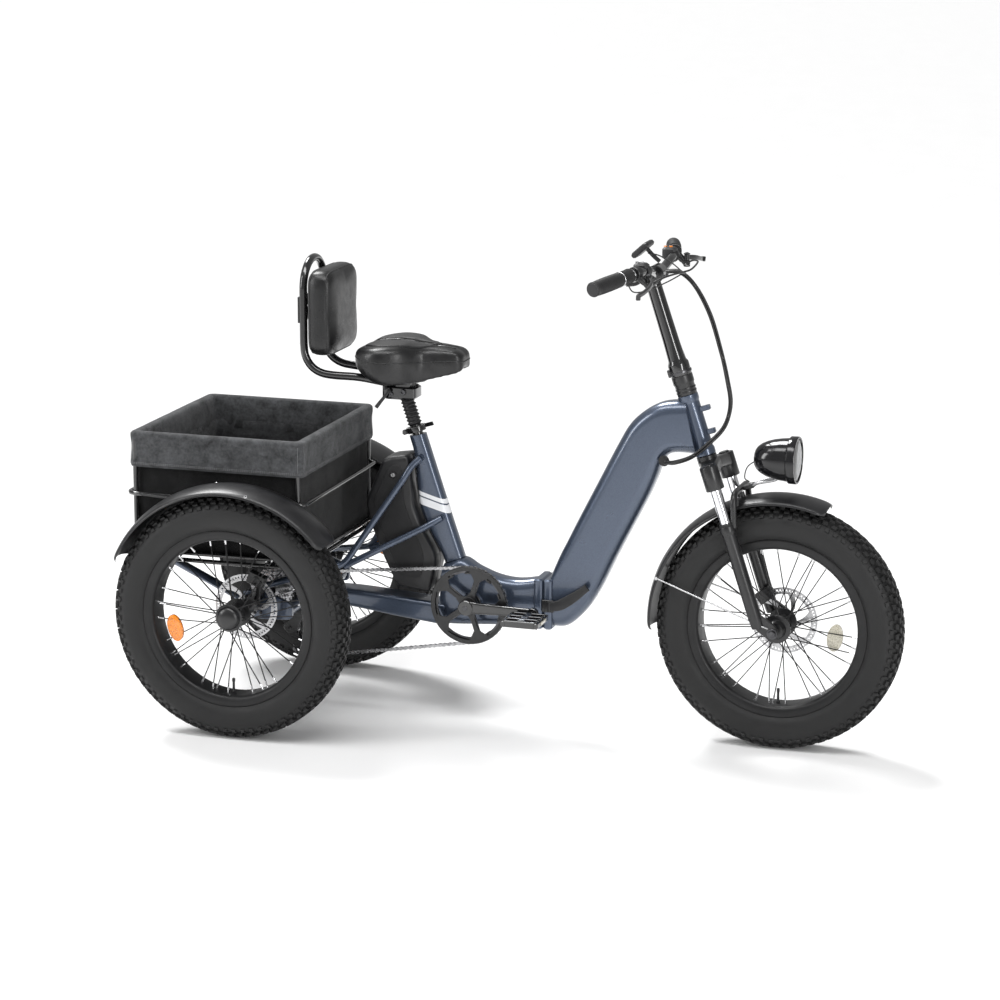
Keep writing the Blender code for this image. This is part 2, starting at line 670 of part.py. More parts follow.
def add_crankset(body, pedal_bodies):
    inner = inside_chain(CHAINRING_TEETH)
    y = CHAIN_Y
    ring = wheel_ring([(inner, y - 0.0022), (inner, y + 0.0022), (0.0760, y + 0.0022),
                       (0.0760, y - 0.0022)], 28, across(CRANK_AXLE))
    guard = wheel_ring([(0.0958, y - 0.0078), (0.0958, y - 0.0052), (0.0800, y - 0.0018),
                        (0.0740, y - 0.0050)], 28, across(CRANK_AXLE))
    arms = []
    for k in range(4):
        turn = Matrix.Rotation(radians(45 + 90 * k), 4, "Y")
        spider = rounded_box((0.0720, 0.0060, 0.0170), 0.002,
                             turn @ Matrix.Translation((0.0450, y - 0.0030, 0)))
        arms.append(moved(spider, Matrix.Translation(CRANK_AXLE)))
    boss = rod(CRANK_AXLE + Vector((0, y - 0.0075, 0)), CRANK_AXLE + Vector((0, y + 0.0060, 0)), 0.0210,
               16)
    hole = rod(CRANK_AXLE + Vector((0, -0.12, 0)), CRANK_AXLE + Vector((0, 0.0, 0)), 0.0136, 14)
    solid = cut(fuse(ring, guard, boss, *arms), hole)
    add_node("chainring", solid, "black_paint", body)
    spindle = rod(CRANK_AXLE + Vector((0, -0.0800, 0)), CRANK_AXLE + Vector((0, 0.0640, 0)), 0.0125, 14)
    right = crank_arm(-1)
    left = crank_arm(1)
    add_node("crank_right", fuse(right, spindle), "black_paint", body)
    add_node("crank_left", left, "black_paint", body)
    for sign, side in ((-1, "right"), (1, "left")):
        add_pedal(side, sign, pedal_bodies[side])


def pedal_centre(sign):
    reach = CRANK_LENGTH if sign < 0 else -CRANK_LENGTH
    return CRANK_AXLE + Vector((reach, sign * 0.1050, 0.0020 if sign < 0 else -0.0020))


def crank_arm(sign):
    """Arm that leans outwards from its boss on the spindle to its pedal eye."""
    eye = pedal_centre(sign)
    boss_y = sign * (0.0840 if sign < 0 else 0.0760)
    inner = Vector((CRANK_AXLE.x, boss_y, CRANK_AXLE.z))
    outer = Vector((eye.x, sign * 0.0960, eye.z))
    section = [(-0.0070, -0.0140), (0.0070, -0.0140), (0.0070, 0.0140), (-0.0070, 0.0140)]
    tip = [(a * 0.85, b * 0.75) for a, b in section]
    rings = []
    for point, shape in ((inner, section), (inner.lerp(outer, 0.97), tip)):
        rings.append([point + Vector((0, a, b)) for a, b in shape])
    arm = mesh_of(rings)
    boss = rod(inner - Vector((0, 0.0110, 0)), inner + Vector((0, 0.0110, 0)), 0.0185, 14)
    end = rod(outer - Vector((0, 0.0070, 0)), outer + Vector((0, 0.0070, 0)), 0.0135, 12)
    solid = fuse(arm, boss, end)
    eye_hole = rod(outer - Vector((0, 0.02, 0)), outer + Vector((0, 0.02, 0)), 0.0066, 10)
    if sign > 0:
        return cut(solid, eye_hole, rod(CRANK_AXLE, CRANK_AXLE + Vector((0, 0.0646, 0)), 0.0130, 14))
    return cut(solid, eye_hole)


def add_pedal(side, sign, body):
    centre = pedal_centre(sign)
    mid = Vector((centre.x, sign * 0.1620, centre.z))
    axle = rod(Vector((centre.x, sign * 0.0900, centre.z)), mid, 0.0060, 10)
    outline = [(0.048, -0.006), (0.036, 0.014), (-0.036, 0.014), (-0.048, 0.006), (-0.036, -0.014),
               (0.036, -0.014)]
    platform = side_plate([(mid.x + x, mid.z + z) for x, z in outline], mid.y - 0.045, mid.y + 0.045)
    windows = []
    for x in (-0.021, 0.021):
        windows.append(rounded_box((0.024, 0.066, 0.08), 0.003,
                                   Matrix.Translation((mid.x + x, mid.y, mid.z))))
    add_node("pedal_" + side, fuse(cut(platform, *windows), axle), "black_plastic", body)


# ---- battery, seat and backrest ----
def add_battery(body):
    outline = [(0.2990, 0.6440), (0.3420, 0.6500), (0.3470, 0.6300), (0.3510, 0.5960), (0.3590, 0.5240),
               (0.3830, 0.4620),
               (0.4120, 0.4100), (0.4150, 0.3860), (0.3980, 0.3120), (0.3150, 0.3220), (0.2790, 0.3940),
               (0.2400, 0.4890),
               (0.2340, 0.5300), (0.2800, 0.6370)]
    case = bevelled(side_plate(outline, -0.0400, 0.0400), 0.007)
    add_node("battery_pack", case, "black_plastic", body)


SEAT_UP = Vector((-sin(SEAT_TILT), 0, cos(SEAT_TILT)))
SEAT_SOCKET = Vector((0.3577, 0, 0.6970))


def on_post(height):
    return SEAT_SOCKET + SEAT_UP * height


def along_post(height):
    return Matrix.Translation(on_post(height)) @ Matrix.Rotation(-SEAT_TILT, 4, "Y")


CLAMP_LEVER_PIVOT = along_post(0.0) @ Vector((-0.0270, 0.0200, 0.0120))


def add_seat_clamp(body, lever_body):
    """Split collar with a bolt behind it and a quick release lever along its left side."""
    collar = along_post(0.0)
    ring = wheel_ring([(0.0230, 0.0050), (0.0230, 0.0190), (0.0148, 0.0190), (0.0148, 0.0050)], 18,
                      collar)
    lug = rounded_box((0.0150, 0.0180, 0.0120), 0.002,
                      collar @ Matrix.Translation((-0.0270, 0, 0.0120)))
    bolt = rod(collar @ Vector((-0.0270, -0.0140, 0.0120)), collar @ Vector((-0.0270, 0.0130, 0.0120)),
               0.0035, 8)
    add_node("seat_clamp", fuse(ring, lug, bolt), "black_paint", body)
    cam = turned([(0.0062, 0.0055), (0.0062, 0.0185)], 10,
                 collar @ Matrix.Translation((-0.0270, 0.0200, 0)))
    path = [CLAMP_LEVER_PIVOT, collar @ Vector((-0.0080, 0.0290, 0.0120)),
            collar @ Vector((0.0120, 0.0300, 0.0120)),
            collar @ Vector((0.0340, 0.0260, 0.0120))]
    add_node("seat_clamp_lever", fuse(cam, tube(path, [0.0040, 0.0045, 0.0045, 0.0035], 6)),
             "black_paint", lever_body)


SADDLE_LEVER_PIVOT = Vector((0.2960, -0.0330, 0.8040))


def add_seatpost(body, lever_body):
    post = rod(on_post(-0.150), on_post(0.1000), 0.0128, 14)
    coils = []
    for k in range(7):
        height = 0.0280 + k * 0.0090
        coils.append((0.0140, height - 0.0034))
        coils.append((0.0180, height))
    sleeve = turned([(0.0134, 0.0220)] + coils + [(0.0140, 0.0880)], 12, along_post(0.0))
    bracket = bevelled(rounded_box((0.0860, 0.0560, 0.0340), 0.010,
                                   Matrix.Translation((0.3170, 0, 0.7990))), 0.004)
    neck = rounded_box((0.0400, 0.0480, 0.0200), 0.004, Matrix.Translation((0.3260, 0, 0.8200)))
    rails = []
    for sign in (-1, 1):
        rails.append(rod(Vector((0.2750, sign * 0.0210, 0.8290)),
                         Vector((0.4000, sign * 0.0190, 0.8330)), 0.0040, 6))
    add_node("seatpost", fuse(post, sleeve, bracket, neck, *rails), "black_paint", body)
    start = SADDLE_LEVER_PIVOT
    path = [start, start + Vector((-0.006, -0.003, -0.008)), start + Vector((-0.030, -0.010, -0.040))]
    add_node("saddle_lever", tube(path, [0.0035, 0.0035, 0.0050], 6), "black_plastic", lever_body)


def add_saddle(body):
    """Wide padded saddle: stations of (x, half width, bottom, top) from the tail to the nose."""
    stations = [(0.2250, 0.060, 0.880, 0.905), (0.2330, 0.098, 0.868, 0.913),
                (0.2600, 0.122, 0.848, 0.920),
                (0.3000, 0.131, 0.834, 0.925), (0.3450, 0.110, 0.830, 0.925),
                (0.3750, 0.076, 0.831, 0.920),
                (0.4000, 0.060, 0.838, 0.916), (0.4400, 0.049, 0.848, 0.913),
                (0.4700, 0.042, 0.855, 0.909),
                (0.4820, 0.030, 0.860, 0.900)]
    rings = []
    for x, half, low, high in stations:
        rise = high - low
        shape = [(1.00, 0.50), (0.95, 0.84), (0.76, 0.98), (0.36, 1.00), (0.0, 0.95), (-0.36, 1.00),
                 (-0.76, 0.98),
                 (-0.95, 0.84), (-1.00, 0.50), (-0.92, 0.05), (-0.80, 0.0), (-0.68, 0.20), (0.0, 0.24),
                 (0.68, 0.20),
                 (0.80, 0.0), (0.92, 0.05)]
        rings.append([Vector((x, half * a, low + rise * b)) for a, b in shape])
    add_node("saddle", mesh_of(rings), "saddle_leather", body)


def add_backrest(body):
    y, x = 0.0700, 0.0925
    arch = [Vector((x, -y * cos(pi * k / 8), 1.0430 + y * sin(pi * k / 8))) for k in range(9)]
    arms = []
    for sign in (-1, 1):
        arms.append([Vector((x, sign * y, 0.9150)), Vector((0.0960, sign * y, 0.8860)),
                     Vector((0.1110, sign * y, 0.8610)),
                     Vector((0.1360, sign * y, 0.8460)), Vector((0.1700, sign * 0.0680, 0.8410)),
                     Vector((0.2300, sign * 0.0580, 0.8380)), Vector((0.2920, sign * 0.0340, 0.8240))])
    hoop = tube(arms[0][::-1] + arch + arms[1], 0.0096, 8)
    plate = rounded_box((0.0060, 0.1480, 0.0630), 0.001, Matrix.Translation((0.0815, 0, 0.9955)))
    bolts = [rod(Vector((0.2860, sign * 0.0355, 0.8080)), Vector((0.2860, sign * 0.0355, 0.8260)),
                 0.0060, 8) for sign in (-1, 1)]
    add_node("backrest_frame", fuse(hoop, plate, *bolts), "black_paint", body)
    rings = []
    for x, half_y, half_z in ((0.1090, 0.088, 0.088), (0.1150, 0.100, 0.100), (0.1400, 0.105, 0.105),
                              (0.1650, 0.103, 0.103), (0.1730, 0.092, 0.092)):
        corners = [Vector((x, half_y, 0.9945 + half_z)), Vector((x, -half_y, 0.9945 + half_z)),
                   Vector((x, -half_y, 0.9945 - half_z)), Vector((x, half_y, 0.9945 - half_z))]
        rings.append(filleted(corners, 0.028, 3, closed=True))
    add_node("backrest_cushion", mesh_of(rings), "saddle_leather", body)


# ---- front frame ----
def add_main_tube(body):
    stations = [((0.6980, 0.3710), (0.6980, 0.2490)), ((0.7105, 0.4025), (0.7430, 0.2545)),
                ((0.7230, 0.4315), (0.7870, 0.2950)), ((0.7395, 0.4645), (0.8225, 0.3510)),
                ((0.7650, 0.5170), (0.8620, 0.4350)), ((0.8140, 0.6140), (0.9140, 0.5390)),
                ((0.8380, 0.6620), (0.9400, 0.5920)), ((0.8615, 0.7080), (0.9580, 0.6350)),
                ((0.8865, 0.7525), (0.9660, 0.6585)), ((0.9125, 0.7815), (0.9755, 0.6785)),
                ((0.9465, 0.8055), (0.9885, 0.6925)), ((0.9800, 0.8175), (1.0120, 0.6970)),
                ((1.0260, 0.8220), (1.0560, 0.6960))]
    loft = loft_stations(stations, 0.0370, 0.0300, 16)
    head = turned([(0.0245, -0.0740), (0.0245, -0.0600), (0.0225, -0.0560), (0.0225, 0.0560),
                   (0.0245, 0.0600), (0.0245, 0.0740)],
                  20, STEER)
    plate = rounded_box((0.0230, 0.0880, 0.1240), 0.006,
                        Matrix.Translation((FOLD_X + 0.0005 + 0.0115, 0, 0.3080)))
    knuckle = rod(Vector((FOLD_PIVOT.x, FOLD_PIVOT.y, 0.2730)),
                  Vector((FOLD_PIVOT.x, FOLD_PIVOT.y, 0.3430)), 0.0085, 10)
    link = rounded_box((0.0160, 0.0150, 0.0680), 0.003,
                       Matrix.Translation((FOLD_X + 0.0095, 0.0450, 0.3080)))
    bosses = []
    for z, length in ((0.0330, 0.028), (-0.0230, 0.020)):
        bosses.append(rounded_box((length, 0.016, 0.012), 0.003,
                                  STEER @ Matrix.Translation((0.0300, 0, z))))
    solid = fuse(loft, head, plate, link, knuckle, *bosses)
    bore = turned([(0.0186, -0.10), (0.0186, 0.10)], 16, STEER)
    gaps = []
    for z in (0.2620, 0.3540):
        gaps.append(rod(Vector((FOLD_PIVOT.x, FOLD_PIVOT.y, z - 0.0105)),
                        Vector((FOLD_PIVOT.x, FOLD_PIVOT.y, z + 0.0105)), 0.0095, 12))
    add_node("main_tube", cut(solid, bore, *gaps), "slate_paint", body)


LATCH_PIVOT = Vector((0.7060, -0.0500, 0.3060))


def add_fold_latch(body):
    """Long black lever on the right side that clamps the two hinge plates together."""
    boss = rod(LATCH_PIVOT + Vector((0, 0, -0.012)), LATCH_PIVOT + Vector((0, 0, 0.012)), 0.0050, 10)
    section = [(-0.0045, -0.0130), (0.0045, -0.0130), (0.0045, 0.0130), (-0.0045, 0.0130)]
    path = [LATCH_PIVOT, LATCH_PIVOT + Vector((0.028, -0.003, 0.008)),
            LATCH_PIVOT + Vector((0.062, -0.004, 0.030)),
            LATCH_PIVOT + Vector((0.094, -0.003, 0.056))]
    add_node("fold_latch", fuse(boss, sweep(path, section)), "black_plastic", body)


# ---- fork, lights and front fender ----
def fork_tube(y, z_low, z_high, radius, sides=14, ahead=LEG_AHEAD):
    ends = [STEER @ Vector((ahead, y, z)) for z in (z_low, z_high)]
    return rod(ends[0], ends[1], radius, sides)


def add_fork_crown(body):
    steerer = turned([(0.0165, -0.1000), (0.0165, 0.0830)], 14, STEER)
    base = turned([(0.0235, 0.0748), (0.0235, 0.1000), (0.0255, 0.1040), (0.0255, 0.1215)], 16, STEER)
    cup = turned([(0.0240, -0.0960), (0.0240, -0.0748)], 16, STEER)
    yoke = []
    for sign in (-1, 1):
        inner = [Vector((-0.024, 0, -0.1130)), Vector((0.030, 0, -0.1130)), Vector((0.030, 0, -0.0850)),
                 Vector((-0.024, 0, -0.0850))]
        outer = [Vector((0.002, sign * LEG_Y, -0.1240)), Vector((0.038, sign * LEG_Y, -0.1240)),
                 Vector((0.038, sign * LEG_Y, -0.0950)), Vector((0.002, sign * LEG_Y, -0.0950))]
        yoke.append(moved(mesh_of([inner, outer]), STEER))
    mid = moved(rounded_box((0.0560, 0.0500, 0.0270), 0.008),
                STEER @ Matrix.Translation((0.003, 0, -0.0990)))
    sleeves = [fork_tube(sign * LEG_Y, -0.1490, -0.0910, 0.0220) for sign in (-1, 1)]
    sockets = [fork_tube(sign * LEG_Y, -0.1600, -0.0960, 0.0140) for sign in (-1, 1)]
    solid = fuse(mid, cup, steerer, base, *yoke, *sleeves)
    add_node("fork_crown", cut(solid, *sockets), "black_paint", body)
    for side, sign in (("right", -1), ("left", 1)):
        add_node("stanchion_" + side, fork_tube(sign * LEG_Y, -0.3500, -0.0965, 0.0135, 14), "chrome",
                 body)


def add_fork_lowers(body):
    legs = []
    sockets = []
    for sign in (-1, 1):
        y = sign * LEG_Y
        legs.append(turned([(0.0150, -0.4900), (0.0165, -0.4600), (0.0165, -0.2560), (0.0190, -0.2540),
                            (0.0190, -0.2370)], 14,
                           STEER @ Matrix.Translation((LEG_AHEAD, y, 0))))
        drop = [Vector((0.012, 0, -0.4600)), Vector((0.032, 0, -0.4600)), Vector((0.062, 0, -0.4980)),
                Vector((0.060, 0, -0.5240)),
                Vector((0.038, 0, -0.5240)), Vector((0.014, 0, -0.4920))]
        plate = mesh_of([[p + Vector((0, y - sign * 0.0010 + d, 0)) for p in drop]
                         for d in (-0.0055, 0.0055)])
        legs.append(moved(plate, STEER))
        sockets.append(fork_tube(y, -0.4000, -0.1900, 0.0140))
        sockets.append(moved(rod(Vector((AXLE_IN_FORK.x, y - 0.03, AXLE_IN_FORK.z)),
                                 Vector((AXLE_IN_FORK.x, y + 0.03, AXLE_IN_FORK.z)), 0.0066, 12),
                                 STEER))
    corners = [Vector((0.0360, -LEG_Y, -0.2460)), Vector((ARCH_X, -LEG_Y * 0.98, -0.1720)),
               Vector((ARCH_X, LEG_Y * 0.98, -0.1720)), Vector((0.0360, LEG_Y, -0.2460))]
    arch = moved(tube(filleted(corners, 0.030, 3), 0.0075, 8), STEER)
    add_node("fork_lowers", cut(fuse(legs[0], legs[1], legs[2], legs[3], arch), *sockets),
             "black_paint", body)


def add_front_fender(body):
    blade = fender(FRONT_AXLE, FENDER_R - 0.0030, 0.0570, 69, 185, 13)
    post = rod(STEER @ Vector((ARCH_X, 0, -0.2010)), STEER @ Vector((ARCH_X, 0, -0.1810)), 0.0060, 8)
    add_node("fender_front", fuse(blade, post), "black_plastic", body)


HEADLIGHT_MID = Vector((1.2935, 0, 0.6945))


def add_headlight(body):
    """Bullet housing with a wire bracket that bolts to the fork arch."""
    forward = Matrix.Translation(HEADLIGHT_MID) @ Matrix.Rotation(pi / 2, 4, "Y")
    profile = [(0.0160, -0.1040), (0.0270, -0.0980), (0.0400, -0.0780), (0.0480, -0.0520),
               (0.0520, -0.0220),
               (0.0560, -0.0200), (0.0560, -0.0010)]
    shell = turned(profile, 24, forward)
    recess = turned([(0.0500, -0.0080), (0.0500, 0.0100)], 24, forward)
    foot = STEER @ Vector((ARCH_X + 0.0260, 0, -0.1720))
    clamp = rounded_box((0.0280, 0.0300, 0.0100), 0.003,
                        STEER @ Matrix.Translation((ARCH_X + 0.0220, 0, -0.1720)))
    wire = [rod(foot + Vector((0, sign * 0.010, 0)), Vector((1.2500, sign * 0.014, 0.6600)), 0.0030, 6)
            for sign in (-1, 1)]
    add_node("headlight_housing", cut(fuse(shell, clamp, *wire), recess), "black_plastic", body)
    add_node("headlight_lens", turned([(0.0496, -0.0076), (0.0496, -0.0030), (0.0300, -0.0005)], 24,
                                      forward), "clear_lens", body)


def add_front_caliper(body):
    turn = radians(128)
    at = FRONT_AXLE + Vector((0.075 * cos(turn), 0.0480, 0.075 * sin(turn)))
    place = Matrix.Translation(at) @ Matrix.Rotation(pi / 2 - turn, 4, "Y")
    block = caliper((0.044, 0.0220, 0.030), 0.0040, place)
    leg = fork_tube(LEG_Y, -0.5200, -0.3000, 0.0170)
    add_node("brake_caliper_front", cut(block, leg), "black_paint", body)


# ---- handlepost and controls ----
POST_PIVOT = STEER @ Vector((-0.0275, 0, 0.1226))
POST_LATCH_PIVOT = STEER @ Vector((0.0040, 0.0300, 0.1330))
BAR_CENTRE = Vector((0.9470, 0, 1.1170))


def add_handlepost(body, latch_body):
    collar = turned([(0.0255, 0.1225), (0.0255, 0.1500), (0.0210, 0.1600), (0.0195, 0.2000),
                     (0.0180, 0.3650)], 16, STEER)
    hinge = moved(rounded_box((0.0090, 0.0260, 0.0180), 0.002),
                  STEER @ Matrix.Translation((-0.0240, 0, 0.1330)))
    clamp = rod(BAR_CENTRE - Vector((0, 0.0210, 0)), BAR_CENTRE + Vector((0, 0.0210, 0)), 0.0210, 14)
    neck = rod(STEER @ Vector((0, 0, 0.3500)), BAR_CENTRE, 0.0160, 12)
    bore = rod(BAR_CENTRE - Vector((0, 0.05, 0)), BAR_CENTRE + Vector((0, 0.05, 0)), 0.0136, 12)
    add_node("handlepost", cut(fuse(collar, hinge, clamp, neck), bore), "black_paint", body)
    path = [POST_LATCH_PIVOT, STEER @ Vector((0.0040, 0.0300, 0.1600)),
            STEER @ Vector((0.0020, 0.0262, 0.1950))]
    section = [(-0.0035, -0.0090), (0.0035, -0.0090), (0.0035, 0.0090), (-0.0035, 0.0090)]
    add_node("handlepost_latch", sweep(path, section), "black_paint", latch_body)


GRIP_IN = Vector((0.9370, 0.2000, 1.1410))
GRIP_OUT = Vector((0.8935, 0.3570, 1.1305))
BAR_BEND = GRIP_IN.lerp(GRIP_OUT, -0.22)   # the bar is straight from here out through the grip


def flip(point, sign):
    return Vector((point.x, sign * point.y, point.z))


def add_handlebar(body, throttle_body, lever_bodies):
    route = []
    for sign in (-1, 1):
        inner_bend = Vector((0.9560, sign * 0.1100, 1.1400))
        ends = [flip(GRIP_OUT.lerp(GRIP_IN, 0.1), sign), flip(BAR_BEND, sign), inner_bend,
                Vector((0.9480, sign * 0.0300, 1.1170))]
        route += ends if sign < 0 else ends[::-1]
    bar = tube(filleted(route, 0.03, 2), 0.0110, 10)
    clamps = []
    for sign in (-1, 1):
        perch = lever_pivot(sign)
        mid = flip(GRIP_IN.lerp(GRIP_OUT, -0.14), sign)
        along = (flip(GRIP_IN, sign) - mid).normalized()
        clamps.append(rod(mid - along * 0.009, mid + along * 0.009, 0.0165, 12))
        clamps.append(rod(mid, perch + Vector((0, 0, -0.0200)), 0.0045, 6))
        clamps.append(rod(perch + Vector((0, 0, -0.0220)), perch + Vector((0, 0, -0.0075)), 0.0070, 8))
        pod = rounded_box((0.034, 0.030, 0.030), 0.006,
                          Matrix.Translation((0.9440, sign * 0.1290, 1.1450)))
        clamps.append(pod)
    add_node("handlebar", fuse(bar, *clamps), "black_paint", body)
    for side, sign in (("right", -1), ("left", 1)):
        outer, inner = flip(GRIP_OUT, sign), flip(GRIP_IN, sign)
        core = rod(outer.lerp(inner, 0.04), inner.lerp(outer, -0.5), 0.0114, 12)
        split = 0.70 if side == "right" else 0.97
        stops = [0.0, 0.05, 0.5, split]
        radii = [0.0150, 0.0190, 0.0175, 0.0165]
        grip = tube([outer.lerp(inner, t) for t in stops], radii, 14)
        add_node("grip_" + side, cut(grip, core), "grip_rubber", body)
        if side == "right":
            twist = tube([outer.lerp(inner, t) for t in (0.71, 0.74, 0.97)], [0.0165, 0.0180, 0.0180],
                         14)
            core = rod(outer.lerp(inner, 0.60), inner.lerp(outer, -0.5), 0.0114, 12)
            add_node("throttle", cut(twist, core), "grip_rubber", throttle_body)
        add_brake_lever(side, sign, lever_bodies[side])


SHIFT_PIVOT = Vector((0.9440, -0.1330, 1.1205))


def lever_pivot(sign):
    return Vector((0.9740, sign * 0.1740, 1.1300))


def add_brake_lever(side, sign, body):
    pivot = lever_pivot(sign)
    boss = rod(pivot + Vector((0, 0, -0.0070)), pivot + Vector((0, 0, 0.0070)), 0.0065, 8)
    path = [pivot, pivot + Vector((0.014, sign * 0.030, -0.004)),
            pivot + Vector((0.014, sign * 0.080, -0.014)),
            pivot + Vector((0.006, sign * 0.128, -0.022))]
    blade = tube(filleted(path, 0.02, 2), 0.0050, 8)
    add_node("brake_lever_" + side, fuse(boss, blade), "black_paint", body)


def add_display(body):
    tilt = Matrix.Translation((0.9120, 0, 1.1720)) @ Matrix.Rotation(radians(-42), 4, "Y")
    case = bevelled(rounded_box((0.0500, 0.0640, 0.0130), 0.008), 0.002)
    stem = rod(Vector((0, 0.012, -0.004)), Vector((0.012, 0.030, -0.024)), 0.0050, 8)
    saddle = rod(Vector((0.9460, 0.0275, 1.1400)), Vector((0.9150, 0.0250, 1.1720)), 0.0050, 6)
    add_node("display", fuse(moved(case, tilt), saddle), "black_plastic", body)


def add_gear_shifter(body):
    """Thumb lever under the right control pod."""
    start = SHIFT_PIVOT
    path = [start, start + Vector((-0.012, -0.006, -0.008)), start + Vector((-0.030, -0.016, -0.010))]
    add_node("shift_lever", tube(path, [0.0060, 0.0050, 0.0045], 8), "black_plastic", body)


def add_cable_loom(body):
    """The cables' sleeve, from the handlebar round the front of the head tube to its slot."""
    points = [Vector((0.9720, -0.010, 1.124)), Vector((1.0060, -0.012, 1.124)),
              Vector((1.0600, -0.014, 1.088)),
              Vector((1.0950, -0.016, 1.024)), Vector((1.1150, -0.016, 0.950)),
              Vector((1.1290, -0.014, 0.880)),
              Vector((1.1320, -0.014, 0.820)), Vector((1.1200, -0.020, 0.768)),
              Vector((1.0880, -0.044, 0.730)),
              Vector((1.0520, -0.060, 0.700)), Vector((1.0120, -0.060, 0.683)),
              Vector((0.9860, -0.0500, 0.678))]
    add_node("cable_loom", tube(smooth(points, 2), 0.0055, 6), "black_plastic", body)


# ---- assembly ----
def build_tricycle():
    root = add_empty("rear_frame_body", (0, 0, 0), DATUM)
    bpy.context.view_layer.update()

    def body(name, pivot, parent=root):
        offset = pivot - (parent.matrix_world.translation - DATUM.matrix_world.translation)
        empty = add_empty(name + "_body", offset, parent)
        bpy.context.view_layer.update()
        return empty

    front = body("front_frame", FOLD_PIVOT)
    steering = body("steering", HEAD_MID, front)
    lowers = body("fork_lowers", HEAD_MID, steering)
    post = body("handlepost", POST_PIVOT, steering)
    seat = body("seat", SEAT_SOCKET)

    add_seat_tube(root)
    add_frame_beam(root)
    add_stays(root)
    add_axle_carrier(root)
    add_basket(root)
    add_rear_fenders(root)
    add_motor(root)
    add_rear_caliper(root)
    add_chain(root)
    add_battery(root)
    add_seat_clamp(root, body("seat_clamp_lever", CLAMP_LEVER_PIVOT))
    add_derailleur(root)
    add_cassette(body("cassette", REAR_AXLE))
    right_wheel = body("wheel_rear_right", REAR_AXLE)
    add_rear_wheel("rear_right", -1, right_wheel)
    add_node("brake_disc_rear", moved(brake_disc(REAR_DISC_Y, 0.0214), Matrix.Translation(REAR_AXLE)),
             "steel", right_wheel)
    add_rear_wheel("rear_left", 1, body("wheel_rear_left", REAR_AXLE))
    crank = body("crankset", CRANK_AXLE)
    pedals = {"right": body("pedal_right", pedal_centre(-1), crank),
              "left": body("pedal_left", pedal_centre(1), crank)}
    add_crankset(crank, pedals)
    add_seatpost(seat, body("saddle_lever", SADDLE_LEVER_PIVOT, seat))
    add_saddle(seat)
    add_backrest(seat)

    add_main_tube(front)
    add_fold_latch(body("fold_latch", LATCH_PIVOT, front))
    add_fork_crown(steering)
    add_fork_lowers(lowers)
    add_front_fender(lowers)
    add_headlight(lowers)
    add_front_caliper(lowers)
    add_front_wheel(body("wheel_front", FRONT_AXLE, lowers))
    add_handlepost(post, body("handlepost_latch", POST_LATCH_PIVOT, post))
    levers = {"right": body("brake_lever_right", lever_pivot(-1), post),
              "left": body("brake_lever_left", lever_pivot(1), post)}
    add_handlebar(post, body("throttle", flip(GRIP_IN, -1), post), levers)
    add_display(post)
    add_gear_shifter(body("shift_lever", SHIFT_PIVOT, post))
    add_cable_loom(post)


clear_scene()
DATUM = add_empty("rear_axle_datum", (DATUM_X, 0, 0))
bpy.context.view_layer.update()
build_tricycle()
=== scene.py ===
"""Electric folding adult tricycle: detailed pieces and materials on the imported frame.

Shapes are drawn in metres with X measured forwards from the rear axle, Y to the rider's left and
Z up from the ground; put() moves them into the row frame.
"""

from math import asin, atan2, cos, pi, radians, sin, sqrt, tau

import bmesh
import bpy
from mathutils import Matrix, Vector, noise
from mathutils.bvhtree import BVHTree


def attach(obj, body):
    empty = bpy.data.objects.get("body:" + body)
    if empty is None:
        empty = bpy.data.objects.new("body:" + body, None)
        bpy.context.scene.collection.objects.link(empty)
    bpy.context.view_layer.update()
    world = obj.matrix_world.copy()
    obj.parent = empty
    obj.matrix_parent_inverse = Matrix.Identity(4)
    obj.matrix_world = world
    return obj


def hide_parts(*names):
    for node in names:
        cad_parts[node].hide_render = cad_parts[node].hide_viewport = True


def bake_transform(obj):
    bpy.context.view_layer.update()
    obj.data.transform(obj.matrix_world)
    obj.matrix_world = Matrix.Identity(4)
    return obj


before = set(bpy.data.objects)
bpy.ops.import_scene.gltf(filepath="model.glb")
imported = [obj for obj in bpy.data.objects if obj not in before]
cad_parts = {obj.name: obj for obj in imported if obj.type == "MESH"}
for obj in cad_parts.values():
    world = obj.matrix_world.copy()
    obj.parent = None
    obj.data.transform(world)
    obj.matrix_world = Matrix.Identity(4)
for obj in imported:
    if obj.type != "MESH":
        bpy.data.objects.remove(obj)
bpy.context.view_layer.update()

# ---- dimensions shared with the frame ----
DATUM_X = -0.628379
SHIFT = Matrix.Translation((DATUM_X, 0, 0))
TYRE_R = 0.295
WHEELBASE = 1.2577
HALF_TRACK = 0.3227
RIM_INNER_R = 0.1906
REAR_AXLE = Vector((0, 0, TYRE_R))
FRONT_AXLE = Vector((WHEELBASE, 0, TYRE_R))
STEER_TILT = radians(18.5)
HEAD_MID = Vector((1.0485, 0, 0.764))
STEER = Matrix.Translation(HEAD_MID) @ Matrix.Rotation(-STEER_TILT, 4, "Y")
LEG_Y, LEG_AHEAD, ARCH_X = 0.0775, 0.020, 0.056
CRANK_AXLE = Vector((0.508, 0, 0.297))
CRANK_LENGTH = 0.170
CHAIN_Y = -0.060
CHAIN_PITCH = 0.0127
SEAT_TILT = radians(18)
FOLD_X = 0.6868
FOLD_PIVOT = Vector((FOLD_X, 0.0500, 0.31))
BASKET_REAR, BASKET_FRONT = -0.2950, 0.1580
BASKET_HALF_W = 0.2560
BASKET_TOP, BASKET_BOTTOM = 0.711, 0.412
CUFF_BOTTOM = 0.625
FENDER_R = 0.3215
CARRIER_Y = 0.1980
REAR_DISC_Y = -0.2350
SPOKES = 36


